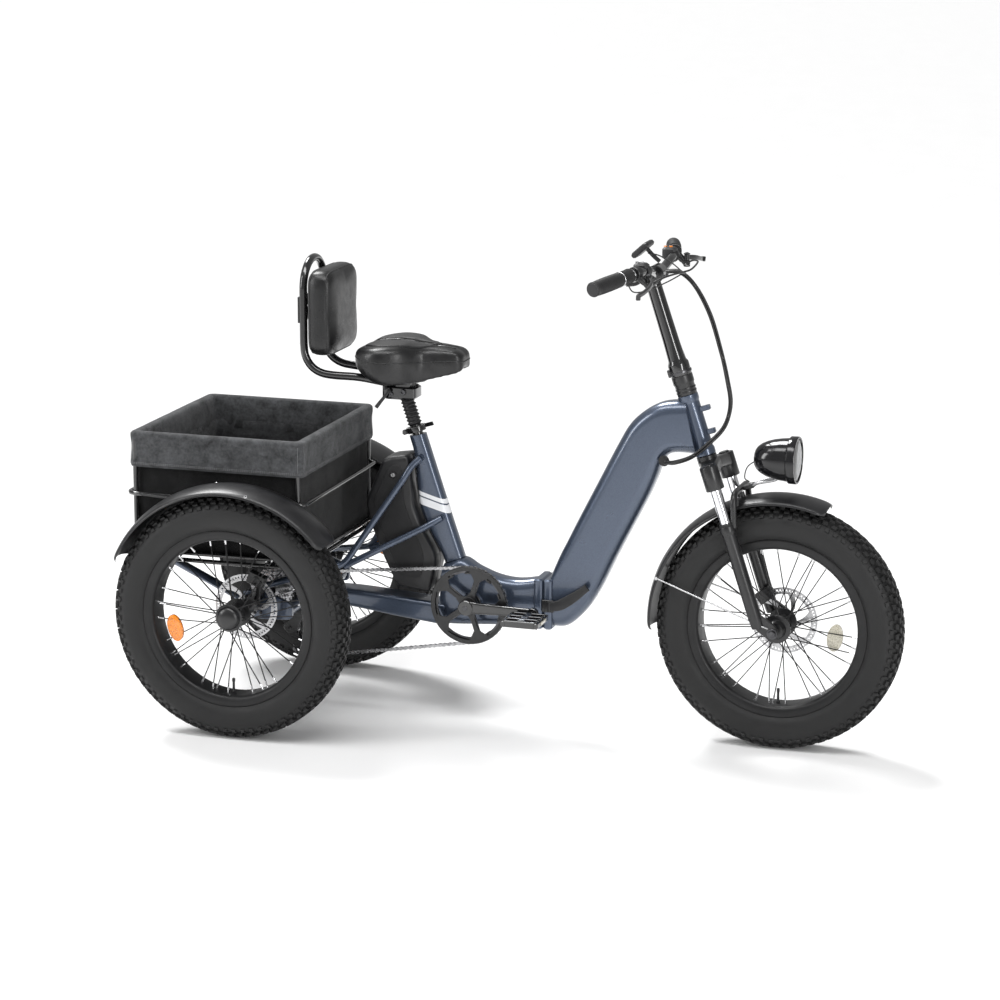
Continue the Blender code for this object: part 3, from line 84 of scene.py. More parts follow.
# ---- materials ----
class Look:
    """One procedural material: a Principled shader and helpers to wire textures into it."""

    def __init__(self, name, colour, rough, metallic=0.0, **sockets):
        self.material = bpy.data.materials.new(name)
        self.material.use_nodes = True
        self.tree = self.material.node_tree
        self.shader = self.tree.nodes["Principled BSDF"]
        self.colour, self.rough = colour, rough
        self.set("Base Color", (*colour, 1))
        self.set("Roughness", rough)
        self.set("Metallic", metallic)
        for socket, value in sockets.items():
            self.set(socket.replace("_", " "), value)
        self.place = self.node("ShaderNodeTexCoord").outputs["Object"]
        self.heights = []

    def set(self, socket, value):
        self.shader.inputs[socket].default_value = value

    def node(self, kind, **values):
        made = self.tree.nodes.new(kind)
        for key, value in values.items():
            if key in made.inputs:
                made.inputs[key].default_value = value
            else:
                setattr(made, key, value)
        return made

    def link(self, source, target):
        self.tree.links.new(source, target)

    def stretched(self, scale, turn=(0, 0, 0)):
        made = self.node("ShaderNodeMapping")
        made.inputs["Scale"].default_value = scale
        made.inputs["Rotation"].default_value = turn
        self.link(self.place, made.inputs["Vector"])
        return made.outputs["Vector"]

    def noise(self, scale, detail=4.0, distortion=0.0, place=None):
        made = self.node("ShaderNodeTexNoise", Scale=scale, Detail=detail, Distortion=distortion)
        self.link(place or self.place, made.inputs["Vector"])
        return made.outputs["Fac"]

    def cells(self, scale, feature="F1"):
        made = self.node("ShaderNodeTexVoronoi", Scale=scale, feature=feature)
        self.link(self.place, made.inputs["Vector"])
        return made.outputs["Distance"]

    def bands(self, scale, direction, profile="SIN"):
        made = self.node("ShaderNodeTexWave", Scale=scale, bands_direction=direction,
                         wave_profile=profile)
        self.link(self.place, made.inputs["Vector"])
        return made.outputs["Fac"]

    def between(self, fac, low, high, low_at=0.3, high_at=0.7):
        """Maps a texture value from low_at..high_at to low..high."""
        made = self.node("ShaderNodeMapRange")
        for socket, value in (("From Min", low_at), ("From Max", high_at), ("To Min", low),
                              ("To Max", high)):
            made.inputs[socket].default_value = value
        self.link(fac, made.inputs["Value"])
        return made.outputs["Result"]

    def math(self, operation, a, b):
        made = self.node("ShaderNodeMath", operation=operation)
        for i, value in enumerate((a, b)):
            if isinstance(value, (int, float)):
                made.inputs[i].default_value = value
            else:
                self.link(value, made.inputs[i])
        return made.outputs[0]

    def shade(self, fac, dark, light, low_at=0.3, high_at=0.7):
        """Base colour between two colours, by a texture value."""
        ramp = self.node("ShaderNodeValToRGB")
        ramp.color_ramp.elements[0].position = low_at
        ramp.color_ramp.elements[1].position = high_at
        ramp.color_ramp.elements[0].color = (*dark, 1)
        ramp.color_ramp.elements[1].color = (*light, 1)
        self.link(fac, ramp.inputs["Fac"])
        self.link(ramp.outputs["Color"], self.shader.inputs["Base Color"])
        return self

    def worn(self, fac, spread=0.10):
        """Roughness that varies with a texture."""
        low, high = max(0.02, self.rough - spread), min(1.0, self.rough + spread)
        self.link(self.between(fac, low, high), self.shader.inputs["Roughness"])
        return self

    def raised(self, fac, distance, strength=1.0):
        """One layer of bump, distance metres deep."""
        bump = self.node("ShaderNodeBump", Strength=strength, Distance=distance)
        self.link(fac, bump.inputs["Height"])
        if self.heights:
            self.link(self.heights[-1], bump.inputs["Normal"])
        self.heights.append(bump.outputs["Normal"])
        self.link(bump.outputs["Normal"], self.shader.inputs["Normal"])
        return self


def tint(colour, factor):
    return tuple(c * factor for c in colour)


def plain(name, colour, rough, metallic=0.0, vary=0.15, spread=0.08, scale=14.0, grain=None, **sockets):
    """Surface with slow colour drift, uneven gloss and a fine grain of (size, depth)."""
    look = Look(name, colour, rough, metallic, **sockets)
    drift = look.noise(scale, 6.0)
    look.shade(drift, tint(colour, 1 - vary), tint(colour, 1 + vary))
    look.worn(look.noise(scale * 2.3, 5.0), spread)
    if grain:
        look.raised(look.noise(1 / grain[0], 2.0), grain[1])
    return look


def make_looks():
    looks = {}
    slate = Look("slate_metallic", (0.040, 0.053, 0.083), 0.30, 0.60, Coat_Weight=0.7,
                 Coat_Roughness=0.08)
    slate.shade(slate.noise(900.0, 2.0), (0.046, 0.061, 0.094), (0.074, 0.096, 0.140), 0.35, 0.65)
    slate.worn(slate.noise(9.0, 5.0), 0.05)
    slate.raised(slate.noise(700.0, 2.0), 0.00003)
    looks["slate"] = slate
    looks["satin_black"] = plain("satin_black_paint", (0.0085, 0.0085, 0.0092), 0.33, 0.0, 0.25, 0.07,
                                 11.0,
                                 (0.0012, 0.00004), Coat_Weight=0.15, Coat_Roughness=0.25)
    looks["gloss_black"] = plain("gloss_black_paint", (0.0065, 0.0065, 0.007), 0.16, 0.0, 0.2, 0.05,
                                 9.0,
                                 (0.004, 0.00003), Coat_Weight=0.8, Coat_Roughness=0.06)
    looks["fender"] = plain("fender_plastic", (0.010, 0.010, 0.011), 0.36, 0.0, 0.25, 0.06, 8.0,
                            (0.0010, 0.00005))
    looks["plastic"] = plain("moulded_plastic", (0.012, 0.012, 0.013), 0.46, 0.0, 0.25, 0.08, 20.0,
                             (0.0007, 0.00006))
    looks["gloss_plastic"] = plain("gloss_plastic", (0.007, 0.007, 0.008), 0.14, 0.0, 0.2, 0.05, 10.0)
    looks["battery"] = plain("battery_case", (0.0095, 0.0095, 0.0105), 0.42, 0.0, 0.3, 0.08, 12.0,
                             (0.0009, 0.00008))
    looks["rim"] = plain("rim_black", (0.0080, 0.0080, 0.0085), 0.42, 0.0, 0.25, 0.07, 15.0,
                         (0.003, 0.00003), Specular_IOR_Level=0.35)
    looks["spoke"] = plain("spoke_black", (0.006, 0.006, 0.0065), 0.42, 0.0, 0.2, 0.06, 30.0,
                           Specular_IOR_Level=0.3)
    looks["nipple"] = plain("nipple_silver", (0.62, 0.62, 0.63), 0.24, 1.0, 0.08, 0.06, 60.0)
    looks["chrome"] = plain("chrome_plate", (0.82, 0.82, 0.84), 0.08, 1.0, 0.03, 0.04, 12.0)
    brushed = Look("brushed_steel", (0.50, 0.50, 0.51), 0.30, 1.0)
    lines = brushed.noise(1.0, 6.0, 0.0, brushed.stretched((40.0, 900.0, 900.0)))
    brushed.shade(lines, (0.40, 0.40, 0.41), (0.60, 0.60, 0.61)).worn(lines, 0.08).raised(lines,
                                                            0.00003)
    looks["steel"] = brushed
    looks["chain"] = plain("chain_steel", (0.42, 0.42, 0.43), 0.30, 1.0, 0.3, 0.12, 120.0,
                           (0.0012, 0.00005))
    looks["dark_steel"] = plain("dark_steel", (0.10, 0.10, 0.105), 0.35, 1.0, 0.25, 0.10, 60.0,
                                (0.0015, 0.00004))

    tyre = Look("tyre_rubber", (0.0075, 0.0075, 0.0078), 0.60, 0.0, Specular_IOR_Level=0.42)
    dust = tyre.noise(26.0, 8.0, 0.6)
    tyre.shade(dust, (0.0055, 0.0055, 0.0058), (0.0120, 0.0120, 0.0122), 0.35, 0.75)
    tyre.worn(dust, 0.10).raised(tyre.noise(1100.0, 3.0), 0.00018).raised(tyre.noise(160.0, 4.0),
                                                            0.00012)
    looks["tyre"] = tyre
    grip = Look("grip_rubber", (0.011, 0.011, 0.0115), 0.58, 0.0, Specular_IOR_Level=0.4)
    grip.worn(grip.noise(40.0), 0.08).raised(grip.cells(900.0), 0.00012)
    grip.shade(grip.noise(30.0), (0.008, 0.008, 0.0085), (0.015, 0.015, 0.0155))
    looks["grip"] = grip
    hose = plain("hose_sleeve", (0.009, 0.009, 0.0095), 0.40, 0.0, 0.25, 0.08, 50.0, (0.0015, 0.00010))
    looks["hose"] = hose

    vinyl = Look("vinyl", (0.008, 0.008, 0.0085), 0.33, 0.0, Specular_IOR_Level=0.45)
    pores = vinyl.cells(620.0)
    creases = vinyl.cells(260.0)
    vinyl.shade(vinyl.noise(16.0, 5.0), (0.0060, 0.0060, 0.0064), (0.0095, 0.0095, 0.0100))
    vinyl.worn(vinyl.noise(55.0, 4.0), 0.07).raised(pores, 0.00012).raised(creases, 0.00008)
    looks["vinyl"] = vinyl
    top = Look("vinyl_top", (0.016, 0.016, 0.0165), 0.52, 0.0, Specular_IOR_Level=0.40)
    top.shade(top.noise(22.0, 5.0), (0.0110, 0.0110, 0.0115), (0.0190, 0.0190, 0.0195))
    top.worn(top.noise(60.0, 4.0), 0.07).raised(top.cells(480.0), 0.00030).raised(top.noise(140.0, 3.0),
                                                            0.0002)
    looks["vinyl_top"] = top

    looks["canvas"] = canvas_look("washed_canvas", (0.020, 0.0205, 0.0215), (0.100, 0.103, 0.108),
                                  0.0009)
    looks["lining"] = canvas_look("canvas_lining", (0.010, 0.010, 0.011), (0.060, 0.062, 0.065), 0.0006)
    looks["bag"] = canvas_look("bag_fabric", (0.0040, 0.0040, 0.0043), (0.0100, 0.0100, 0.0105), 0.0005)
    looks["thread"] = plain("pale_thread", (0.22, 0.22, 0.225), 0.8, 0.0, 0.2, 0.05, 60.0,
                            (0.0006, 0.0001))
    looks["seam"] = plain("dark_piping", (0.007, 0.007, 0.0075), 0.5, 0.0, 0.2, 0.05, 60.0,
                          (0.0008, 0.0001))
    looks["white"] = plain("white_band", (0.72, 0.73, 0.75), 0.35, 0.0, 0.03, 0.04, 40.0,
                           Coat_Weight=0.3)
    glass = Look("lens_glass", (0.62, 0.64, 0.66), 0.04, 0.0, Transmission_Weight=1.0, IOR=1.40)
    glass.raised(glass.noise(60.0, 1.0), 0.00004)
    looks["glass"] = glass
    looks["orange"] = reflector_look("amber_reflector", (0.90, 0.25, 0.004))
    looks["clear_reflector"] = reflector_look("clear_reflector", (0.50, 0.47, 0.38))
    looks["red_reflector"] = reflector_look("red_reflector", (0.55, 0.012, 0.010))
    looks["mirror"] = plain("lamp_bowl", (0.030, 0.031, 0.034), 0.16, 0.9, 0.05, 0.05, 70.0)
    looks["screen"] = plain("display_glass", (0.012, 0.014, 0.017), 0.06, 0.0, 0.1, 0.02, 20.0,
                            Coat_Weight=1.0)
    looks["floor"] = plain("studio_floor", (0.93, 0.93, 0.93), 0.55, 0.0, 0.004, 0.04, 3.0)
    return {name: look.material for name, look in looks.items()}


def canvas_look(name, dark, light, thread):
    """Washed woven cloth: blotches, pale rubbed streaks and crossing threads."""
    look = Look(name, dark, 0.92, 0.0, Sheen_Weight=0.12, Specular_IOR_Level=0.15)
    blotch = look.noise(24.0, 12.0, 1.0)
    streak = look.noise(13.0, 8.0, 1.6, look.stretched((1.0, 1.0, 2.2), (0.0, 0.7, 0.0)))
    fine = look.noise(160.0, 8.0)
    mixed = look.math("ADD", look.math("MULTIPLY", blotch, 0.38), look.math("MULTIPLY", streak, 0.34))
    mixed = look.math("ADD", mixed, look.math("MULTIPLY", fine, 0.30))
    look.shade(mixed, dark, light, 0.36, 0.68)
    look.worn(fine, 0.05)
    upright = look.bands(0.5 / thread, "Z")
    slanted = look.bands(0.5 / thread, "DIAGONAL")
    look.raised(look.math("MULTIPLY", upright, slanted), 0.00030)
    look.raised(fine, 0.00040).raised(blotch, 0.0015)
    return look


def reflector_look(name, colour):
    """Prismatic plastic reflector."""
    look = Look(name, colour, 0.12, 0.0, Coat_Weight=1.0, Coat_Roughness=0.04)
    prisms = look.cells(330.0)
    look.shade(prisms, tint(colour, 1.15), tint(colour, 0.65), 0.2, 0.8)
    look.worn(prisms, 0.08).raised(prisms, 0.0008)
    return look


LOOKS = make_looks()


# ---- shape tools ----
CORNERS = ((1, 1), (-1, 1), (-1, -1), (1, -1))


def vectors(*points):
    return [Vector(point) for point in points]


def added(name, data):
    """A new object in the scene."""
    made = bpy.data.objects.new(name, data)
    bpy.context.scene.collection.objects.link(made)
    return made


def mesh_of(rings, looped=False, capped=True, wrapped=True):
    """Skin over rings of equal count; looped joins the last ring to the first."""
    build = bmesh.new()
    rows = [[build.verts.new(point) for point in ring] for ring in rings]
    count = len(rows[0])
    pairs = list(zip(rows, rows[1:]))
    if looped:
        pairs.append((rows[-1], rows[0]))
    for first, second in pairs:
        for i in range(count if wrapped else count - 1):
            j = (i + 1) % count
            build.faces.new((first[i], first[j], second[j], second[i]))
    if capped and not looped:
        build.faces.new(rows[0])
        build.faces.new(rows[-1])
    bmesh.ops.recalc_face_normals(build, faces=build.faces)
    return finished(build)


def finished(build):
    """The bmesh as a mesh."""
    mesh = bpy.data.meshes.new("shape")
    build.to_mesh(mesh)
    build.free()
    return mesh


def moved(mesh, matrix):
    """The mesh transformed, with its faces kept pointing out."""
    mesh.transform(matrix)
    if matrix.determinant() < 0:
        mesh.flip_normals()
    return mesh


def mirrored(mesh):
    return moved(mesh.copy(), Matrix.Scale(-1, 4, Vector((0, 1, 0))))


def merged(*meshes):
    """Several closed shapes as one mesh; where they meet they simply overlap."""
    build = bmesh.new()
    for mesh in meshes:
        build.from_mesh(mesh)
    return finished(build)


def turned(profile, sides, place=None):
    """Solid of revolution about local Z from (radius, z) pairs, with flat ends."""
    rings = []
    for radius, z in profile:
        rings.append([Vector((radius * cos(tau * i / sides), radius * sin(tau * i / sides), z))
                      for i in range(sides)])
    mesh = mesh_of(rings)
    return moved(mesh, place) if place else mesh


def lathe(section, sides, place=Matrix()):
    """Ring about local Z from a closed (radius, z) section."""
    rings = []
    for i in range(sides):
        a = tau * (i + 0.5) / sides
        rings.append([Vector((r * cos(a), r * sin(a), z)) for r, z in section])
    return moved(mesh_of(rings, looped=True), place)


def frames_along(path, closed=False):
    """(position, side, up) at each point; the side starts out as level as it can."""
    count = len(path)
    placed = []
    side = None
    for i, point in enumerate(path):
        if closed:
            before, after = path[i - 1], path[(i + 1) % count]
        else:
            before, after = path[max(i - 1, 0)], path[min(i + 1, count - 1)]
        ahead = (after - before).normalized()
        if side is None:
            helper = Vector((0, 0, 1)) if abs(ahead.z) < 0.9 else Vector((1, 0, 0))
            side = ahead.cross(helper).normalized()
        side = (side - ahead * side.dot(ahead)).normalized()
        placed.append((point, side, side.cross(ahead).normalized()))
    return placed


def sweep(path, section):
    """Section, a list of (across, up) offsets, carried along the path."""
    return mesh_of([[p + s * a + u * b for a, b in section] for p, s, u in frames_along(path)])


def bar_section(wide, high, radius, steps=3):
    """Rounded rectangle of half sizes wide and high."""
    return soft_section([(sx * wide, sy * high) for sx, sy in ((-1, -1), (1, -1), (1, 1), (-1, 1))],
                        radius, steps)


def sleeve(inner, outer, low, high, ease, sides, place):
    """Ring about local Z with a rectangular section whose edges are eased."""
    return lathe(soft_section([(outer, low), (outer, high), (inner, high), (inner, low)], ease), sides,
                 place)


def cross_rod(centre, low, high, radius, sides=20, ease=0.0):
    """Round bar along Y, between two distances from a centre."""
    return rod(centre + Vector((0, low, 0)), centre + Vector((0, high, 0)), radius, sides, ease)


def upright_rod(centre, low, high, radius, sides=20, ease=0.0):
    """Round bar along Z, between two heights from a centre."""
    return rod(centre + Vector((0, 0, low)), centre + Vector((0, 0, high)), radius, sides, ease)


def tube(path, radius, sides=16, closed=False):
    """Round tube; radius may be one number or one for each point."""
    radii = radius if isinstance(radius, (list, tuple)) else [radius] * len(path)
    rings = []
    for (point, side, up), r in zip(frames_along(path, closed), radii):
        turns = [tau * (i + 0.5) / sides for i in range(sides)]
        rings.append([point + side * (r * cos(a)) + up * (r * sin(a)) for a in turns])
    return mesh_of(rings, looped=closed)


def rod(start, end, radius, sides=20, ease=0.0):
    """Round bar between two points, with its ends eased by a small chamfer."""
    if not ease:
        return tube([start, end], radius, sides)
    step = (end - start).normalized() * ease
    return tube([start, start + step, end - step, end], [radius - ease, radius, radius, radius - ease],
                sides)


def filleted(corners, radius, steps=6, closed=False):
    """The corners' polyline with each turn rounded by short arcs."""
    count = len(corners)
    path = []
    for i, corner in enumerate(corners):
        if not closed and i in (0, count - 1):
            path.append(corner.copy())
            continue
        to_last = corners[i - 1] - corner
        to_next = corners[(i + 1) % count] - corner
        reach = min(radius, to_last.length * 0.45, to_next.length * 0.45)
        start = corner + to_last.normalized() * reach
        end = corner + to_next.normalized() * reach
        for step in range(steps + 1):
            t = step / steps
            path.append(start * (1 - t) ** 2 + corner * (2 * t * (1 - t)) + end * t ** 2)
    return path


def soft_section(points, radius, steps=3):
    """A closed (a, b) outline with rounded corners."""
    return [(p.x, p.y) for p in filleted([Vector((a, b, 0)) for a, b in points], radius, steps,
                                         closed=True)]


def smooth(points, steps=4):
    """Catmull-Rom curve through the points."""
    path = []
    padded = [points[0] * 2 - points[1]] + list(points) + [points[-1] * 2 - points[-2]]
    for p0, p1, p2, p3 in zip(padded, padded[1:], padded[2:], padded[3:]):
        for step in range(steps):
            t = step / steps
            path.append(0.5 * (2 * p1 + (p2 - p0) * t + (2 * p0 - 5 * p1 + 4 * p2 - p3) * t ** 2
                               + (3 * p1 - p0 - 3 * p2 + p3) * t ** 3))
    path.append(points[-1].copy())
    return path


def spaced(path, step, closed=False):
    """Points an even distance apart along the path, as near to step as fits."""
    points = list(path) + ([path[0]] if closed else [])
    lengths = [(b - a).length for a, b in zip(points, points[1:])]
    count = max(1, round(sum(lengths) / step))
    gap = sum(lengths) / count
    made, walked, k = [], 0.0, 0
    for i in range(count + (0 if closed else 1)):
        target = min(i * gap, sum(lengths) - 1e-9)
        while k < len(lengths) - 1 and walked + lengths[k] < target:
            walked += lengths[k]
            k += 1
        made.append(points[k].lerp(points[k + 1], (target - walked) / max(lengths[k], 1e-9)))
    return made


def block(size, chamfer, place=None, steps=3):
    """Box with rounded upright edges and eased top and bottom, about its own middle."""
    x, y, z = (length / 2 for length in size)
    rings = []
    ease = min(chamfer * 0.5, z * 0.5)
    for inset, h in ((ease, -z), (0, -z + ease), (0, z - ease), (ease, z)):
        corners = [Vector((sx * (x - inset), sy * (y - inset), h)) for sx, sy in CORNERS]
        rings.append(filleted(corners, chamfer, steps, closed=True))
    mesh = mesh_of(rings)
    return moved(mesh, place) if place else mesh


def side_plate(outline, y_low, y_high, ease=0.0, radius=0.0):
    """Plate cut to an outline of (x, z) points, between two Y planes, with its rims eased."""
    points = [Vector((x, 0, z)) for x, z in outline]
    if radius:
        points = filleted(points, radius, 4, closed=True)
    middle = sum(points, Vector()) / len(points)
    rings = []
    layers = ((ease, y_low), (0, y_low + ease), (0, y_high - ease),
              (ease, y_high)) if ease else ((0, y_low), (0, y_high))
    for inset, y in layers:
        rings.append([p + (middle - p).normalized() * inset + Vector((0, y, 0)) for p in points])
    return mesh_of(rings)


def across(centre):
    """Places local Z along +Y (to the left) at a centre."""
    return Matrix.Translation(centre) @ Matrix.Rotation(-pi / 2, 4, "X")


def polar_plate(inner, outer, rings, turns, keep, low, high, place=Matrix()):
    """Flat disc between two radii with the cells that keep() refuses left open."""
    build = bmesh.new()
    radius = [inner + (outer - inner) * i / rings for i in range(rings + 1)]
    layers = []
    for z in (low, high):
        layers.append([[build.verts.new((r * cos(tau * j / turns), r * sin(tau * j / turns), z))
                        for j in range(turns)]
                       for r in radius])
    kept = [[keep((radius[i] + radius[i + 1]) / 2, (j + 0.5) / turns) for j in range(turns)]
            for i in range(rings)]
    for i in range(rings):
        for j in range(turns):
            if not kept[i][j]:
                continue
            k = (j + 1) % turns
            for layer in layers:
                build.faces.new((layer[i][j], layer[i + 1][j], layer[i + 1][k], layer[i][k]))
            bottom, top = layers
            if not kept[i][j - 1]:
                build.faces.new((bottom[i][j], bottom[i + 1][j], top[i + 1][j], top[i][j]))
            if not kept[i][k]:
                build.faces.new((bottom[i][k], bottom[i + 1][k], top[i + 1][k], top[i][k]))
            if i == 0 or not kept[i - 1][j]:
                build.faces.new((bottom[i][j], bottom[i][k], top[i][k], top[i][j]))
            if i == rings - 1 or not kept[i + 1][j]:
                build.faces.new((bottom[i + 1][j], bottom[i + 1][k], top[i + 1][k], top[i + 1][j]))
    bmesh.ops.delete(build, geom=[v for v in build.verts if not v.link_faces], context="VERTS")
    bmesh.ops.recalc_face_normals(build, faces=build.faces)
    return moved(finished(build), place)


def toothed(teeth, tip, root, bore, low, high, place):
    """Sprocket: four points to a tooth round the outside, plain bore."""
    count = teeth * 4
    rings = []
    for i in range(count):
        a = tau * i / count
        r = tip if i % 4 in (1, 2) else root
        rings.append([Vector((bore * cos(a), bore * sin(a), low)),
                      Vector((r * cos(a), r * sin(a), low)),
                      Vector((r * cos(a), r * sin(a), high)),
                      Vector((bore * cos(a), bore * sin(a), high))])
    return moved(mesh_of(rings, looped=True), place)


def bolt(centre, axis, radius=0.0040, height=0.0030):
    """Socket-head bolt: a domed head with a round recess."""
    place = Matrix.Translation(centre) @ axis.to_track_quat("Z", "Y").to_matrix().to_4x4()
    head = [(radius, -0.002), (radius, height * 0.6), (radius * 0.85, height), (radius * 0.5, height),
            (radius * 0.45, height * 0.35)]
    return turned(head, 18, place)


def put(name, mesh, look, body, cad=(), angle=35, subdivide=0):
    """One visible piece in the row frame, riding on its body and standing for its CAD nodes."""
    mesh.transform(SHIFT)
    mesh.name = name
    mesh.materials.clear()
    mesh.materials.append(LOOKS[look])
    mesh.shade_smooth()
    mesh.set_sharp_from_angle(angle=radians(angle))
    piece = added(name, mesh)
    if subdivide:
        step = piece.modifiers.new("smooth", "SUBSURF")
        step.levels = step.render_levels = subdivide
    if body:
        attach(piece, body)
    if cad:
        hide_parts(*([cad] if isinstance(cad, str) else cad))
    return piece


# ---- wheels ----
def tyre_mesh(place):
    """Carcass with bead and sidewall rings, and blocks of tread over its crown and shoulders."""
    half = [(0.2150, 0.0365), (0.2215, 0.0430), (0.2270, 0.0463), (0.2300, 0.0472), (0.2330, 0.0482),
            (0.2400, 0.0494), (0.2520, 0.0500), (0.2600, 0.0494), (0.2640, 0.0482), (0.2700, 0.0455),
            (0.2770, 0.0405), (0.2830, 0.0325), (0.2868, 0.0220), (0.2882, 0.0110), (0.2885, 0.0)]
    section = half + [(r, -z) for r, z in half[-2::-1]]
    carcass = lathe(section, 120, place)
    rows = []
    for sign in (-1, 1):
        rows.append((sign * 0.0068, 0.2882, 0.0, 0.0165, 0.0100, 0.0062, 0.25 * sign))
        rows.append((sign * 0.0210, 0.2870, sign * 0.18, 0.0150, 0.0115, 0.0062, 0.25 * sign + 0.5))
        rows.append((sign * 0.0330, 0.2825, sign * 0.62, 0.0150, 0.0100, 0.0058, 0.25 * sign))
        rows.append((sign * 0.0428, 0.2738, sign * 1.02, 0.0110, 0.0095, 0.0030, 0.25 * sign + 0.5))
    return merged(carcass, moved(tread_blocks(rows, 76), place))


def tread_blocks(rows, count):
    """Rows of (height along the axle, radius, tilt, length round, width, depth, phase)."""
    build = bmesh.new()
    for z, radius, tilt, along, wide, deep, phase in rows:
        for k in range(count):
            a = tau * (k + phase) / count
            outward, round_way = Vector((cos(a), sin(a), 0)), Vector((-sin(a), cos(a), 0))
            normal = outward * cos(tilt) + Vector((0, 0, sin(tilt)))
            side = Vector((0, 0, cos(tilt))) - outward * sin(tilt)
            base = outward * (radius - 0.0012) + Vector((0, 0, z))
            skew = 0.22 if k % 2 else -0.22
            low, high = [], []
            for sx, sy in CORNERS:
                offset = round_way * (sx * along / 2 + sy * wide / 2 * skew) + side * (sy * wide / 2)
                low.append(build.verts.new(base + offset))
                high.append(build.verts.new(base + offset * 0.84 + normal * (deep + 0.0012)))
            build.faces.new(high)
            for i in range(4):
                j = (i + 1) % 4
                build.faces.new((low[i], low[j], high[j], high[i]))
            build.faces.new(low[::-1])
    bmesh.ops.recalc_face_normals(build, faces=build.faces)
    return finished(build)


def rim_mesh(place):
    """Double-walled rim with hooked edges."""
    half = [(0.1906, 0.0), (0.1906, 0.0275), (0.1916, 0.0310), (0.1950, 0.0350), (0.1985, 0.0372),
            (0.2060, 0.0376),
            (0.2110, 0.0385), (0.2145, 0.0385), (0.2152, 0.0378), (0.2146, 0.0370), (0.2120, 0.0340)]
    section = half + [(r, -z) for r, z in half[:0:-1]]
    return lathe(section, 120, place)


def spoke_line(index, flanges, flange_r):
    """The two ends of one crossed spoke, in wheel coordinates."""
    flange_y = flanges[index % 2]
    a = tau * index / SPOKES
    b = a + (radians(24) if (index // 2) % 2 else radians(-24))
    start = Vector((flange_r * cos(a), flange_r * sin(a), flange_y))
    end = Vector((RIM_INNER_R * cos(b), RIM_INNER_R * sin(b), flange_y * 0.22))
    return start, end


def add_wheel(side, centre, body, hub_profile, flanges, place, reflector):
    wheel_place = across(centre)
    put("tyre_tread_" + side, tyre_mesh(wheel_place), "tyre", body, "tyre_" + side, angle=38)
    put("rim_ring_" + side, rim_mesh(wheel_place), "rim", body, "rim_" + side, angle=50)
    up = wheel_place @ Matrix.Rotation(pi, 4, "Z")
    stem = [(0.0046, -RIM_INNER_R), (0.0046, -0.1860), (0.0030, -0.1840), (0.0030, -0.1640),
            (0.0038, -0.1630),
            (0.0038, -0.1560), (0.0026, -0.1545)]
    valve = turned([(r, -z) for r, z in stem], 14, up @ Matrix.Rotation(pi / 2, 4, "X"))
    put("valve_" + side, valve, "plastic", body)
    hub = turned(hub_profile, 56, place)
    put("hub_shell_" + side, hub, "satin_black", body, "hub_" + side, angle=30)
    spokes, nipples = [], []
    for i in range(SPOKES):
        start, end = spoke_line(i, flanges, 0.0300)
        along = (end - start).normalized()
        spokes.append(tube([start, end - along * 0.006], 0.00140, 6))
        nipples.append(tube([end - along * 0.0150, end - along * 0.0135, end - along * 0.002, end],
                            [0.0016, 0.0021, 0.0021, 0.0030], 8))
    put("spokes_" + side, moved(merged(*spokes), place), "spoke", body)
    put("nipples_" + side, moved(merged(*nipples), place), "nipple", body)
    add_spoke_reflector(side, centre, body, *reflector)


def add_spoke_reflector(side, centre, body, look, radius, degrees, y):
    """Oval reflector clipped between two spokes."""
    a = radians(degrees)
    outline = [Vector((0.0190 * cos(t), 0.0330 * sin(t), 0)) for t in (tau * k / 28 for k in range(28))]
    rings = []
    for grow, z in ((0.90, -0.0050), (1.0, -0.0036), (1.0, 0.0036), (0.90, 0.0050)):
        rings.append([p * grow + Vector((0, 0, z)) for p in outline])
    at = centre + Vector((radius * cos(a), y, radius * sin(a)))
    place = Matrix.Translation(at) @ Matrix.Rotation(-a, 4, "Y") @ Matrix.Rotation(pi / 2, 4, "X")
    put("reflector_" + side, moved(mesh_of(rings), place), look, body)


def rotor_mesh(y, axle):
    """Drilled brake disc: a braking track on swept arms, and a bolt ring."""
    place = across(axle + Vector((0, y, 0)))

    def keep(r, turn):
        if r > 0.0640:
            lane = int((r - 0.0640) / 0.0040)
            phase = (turn * 60 + lane * 0.33) % 1.0
            return not (lane in (1, 2) and phase < 0.34) and not (lane == 0 and phase < 0.12)
        if r < 0.0290:
            return (turn * 6 + 0.5) % 1.0 > 0.14 or r < 0.0245 or r > 0.0275
        sweep_back = (turn * 6 + (r - 0.029) * 11) % 1.0
        return sweep_back < 0.24

    return polar_plate(0.0214, 0.0800, 26, 240, keep, -0.0009, 0.0009, place)


def flange(z):
    """Spoke flange of a hub profile, centred at z."""
    return [(0.0336, z - 0.0025), (0.0340, z - 0.0021), (0.0340, z + 0.0021), (0.0336, z + 0.0025)]


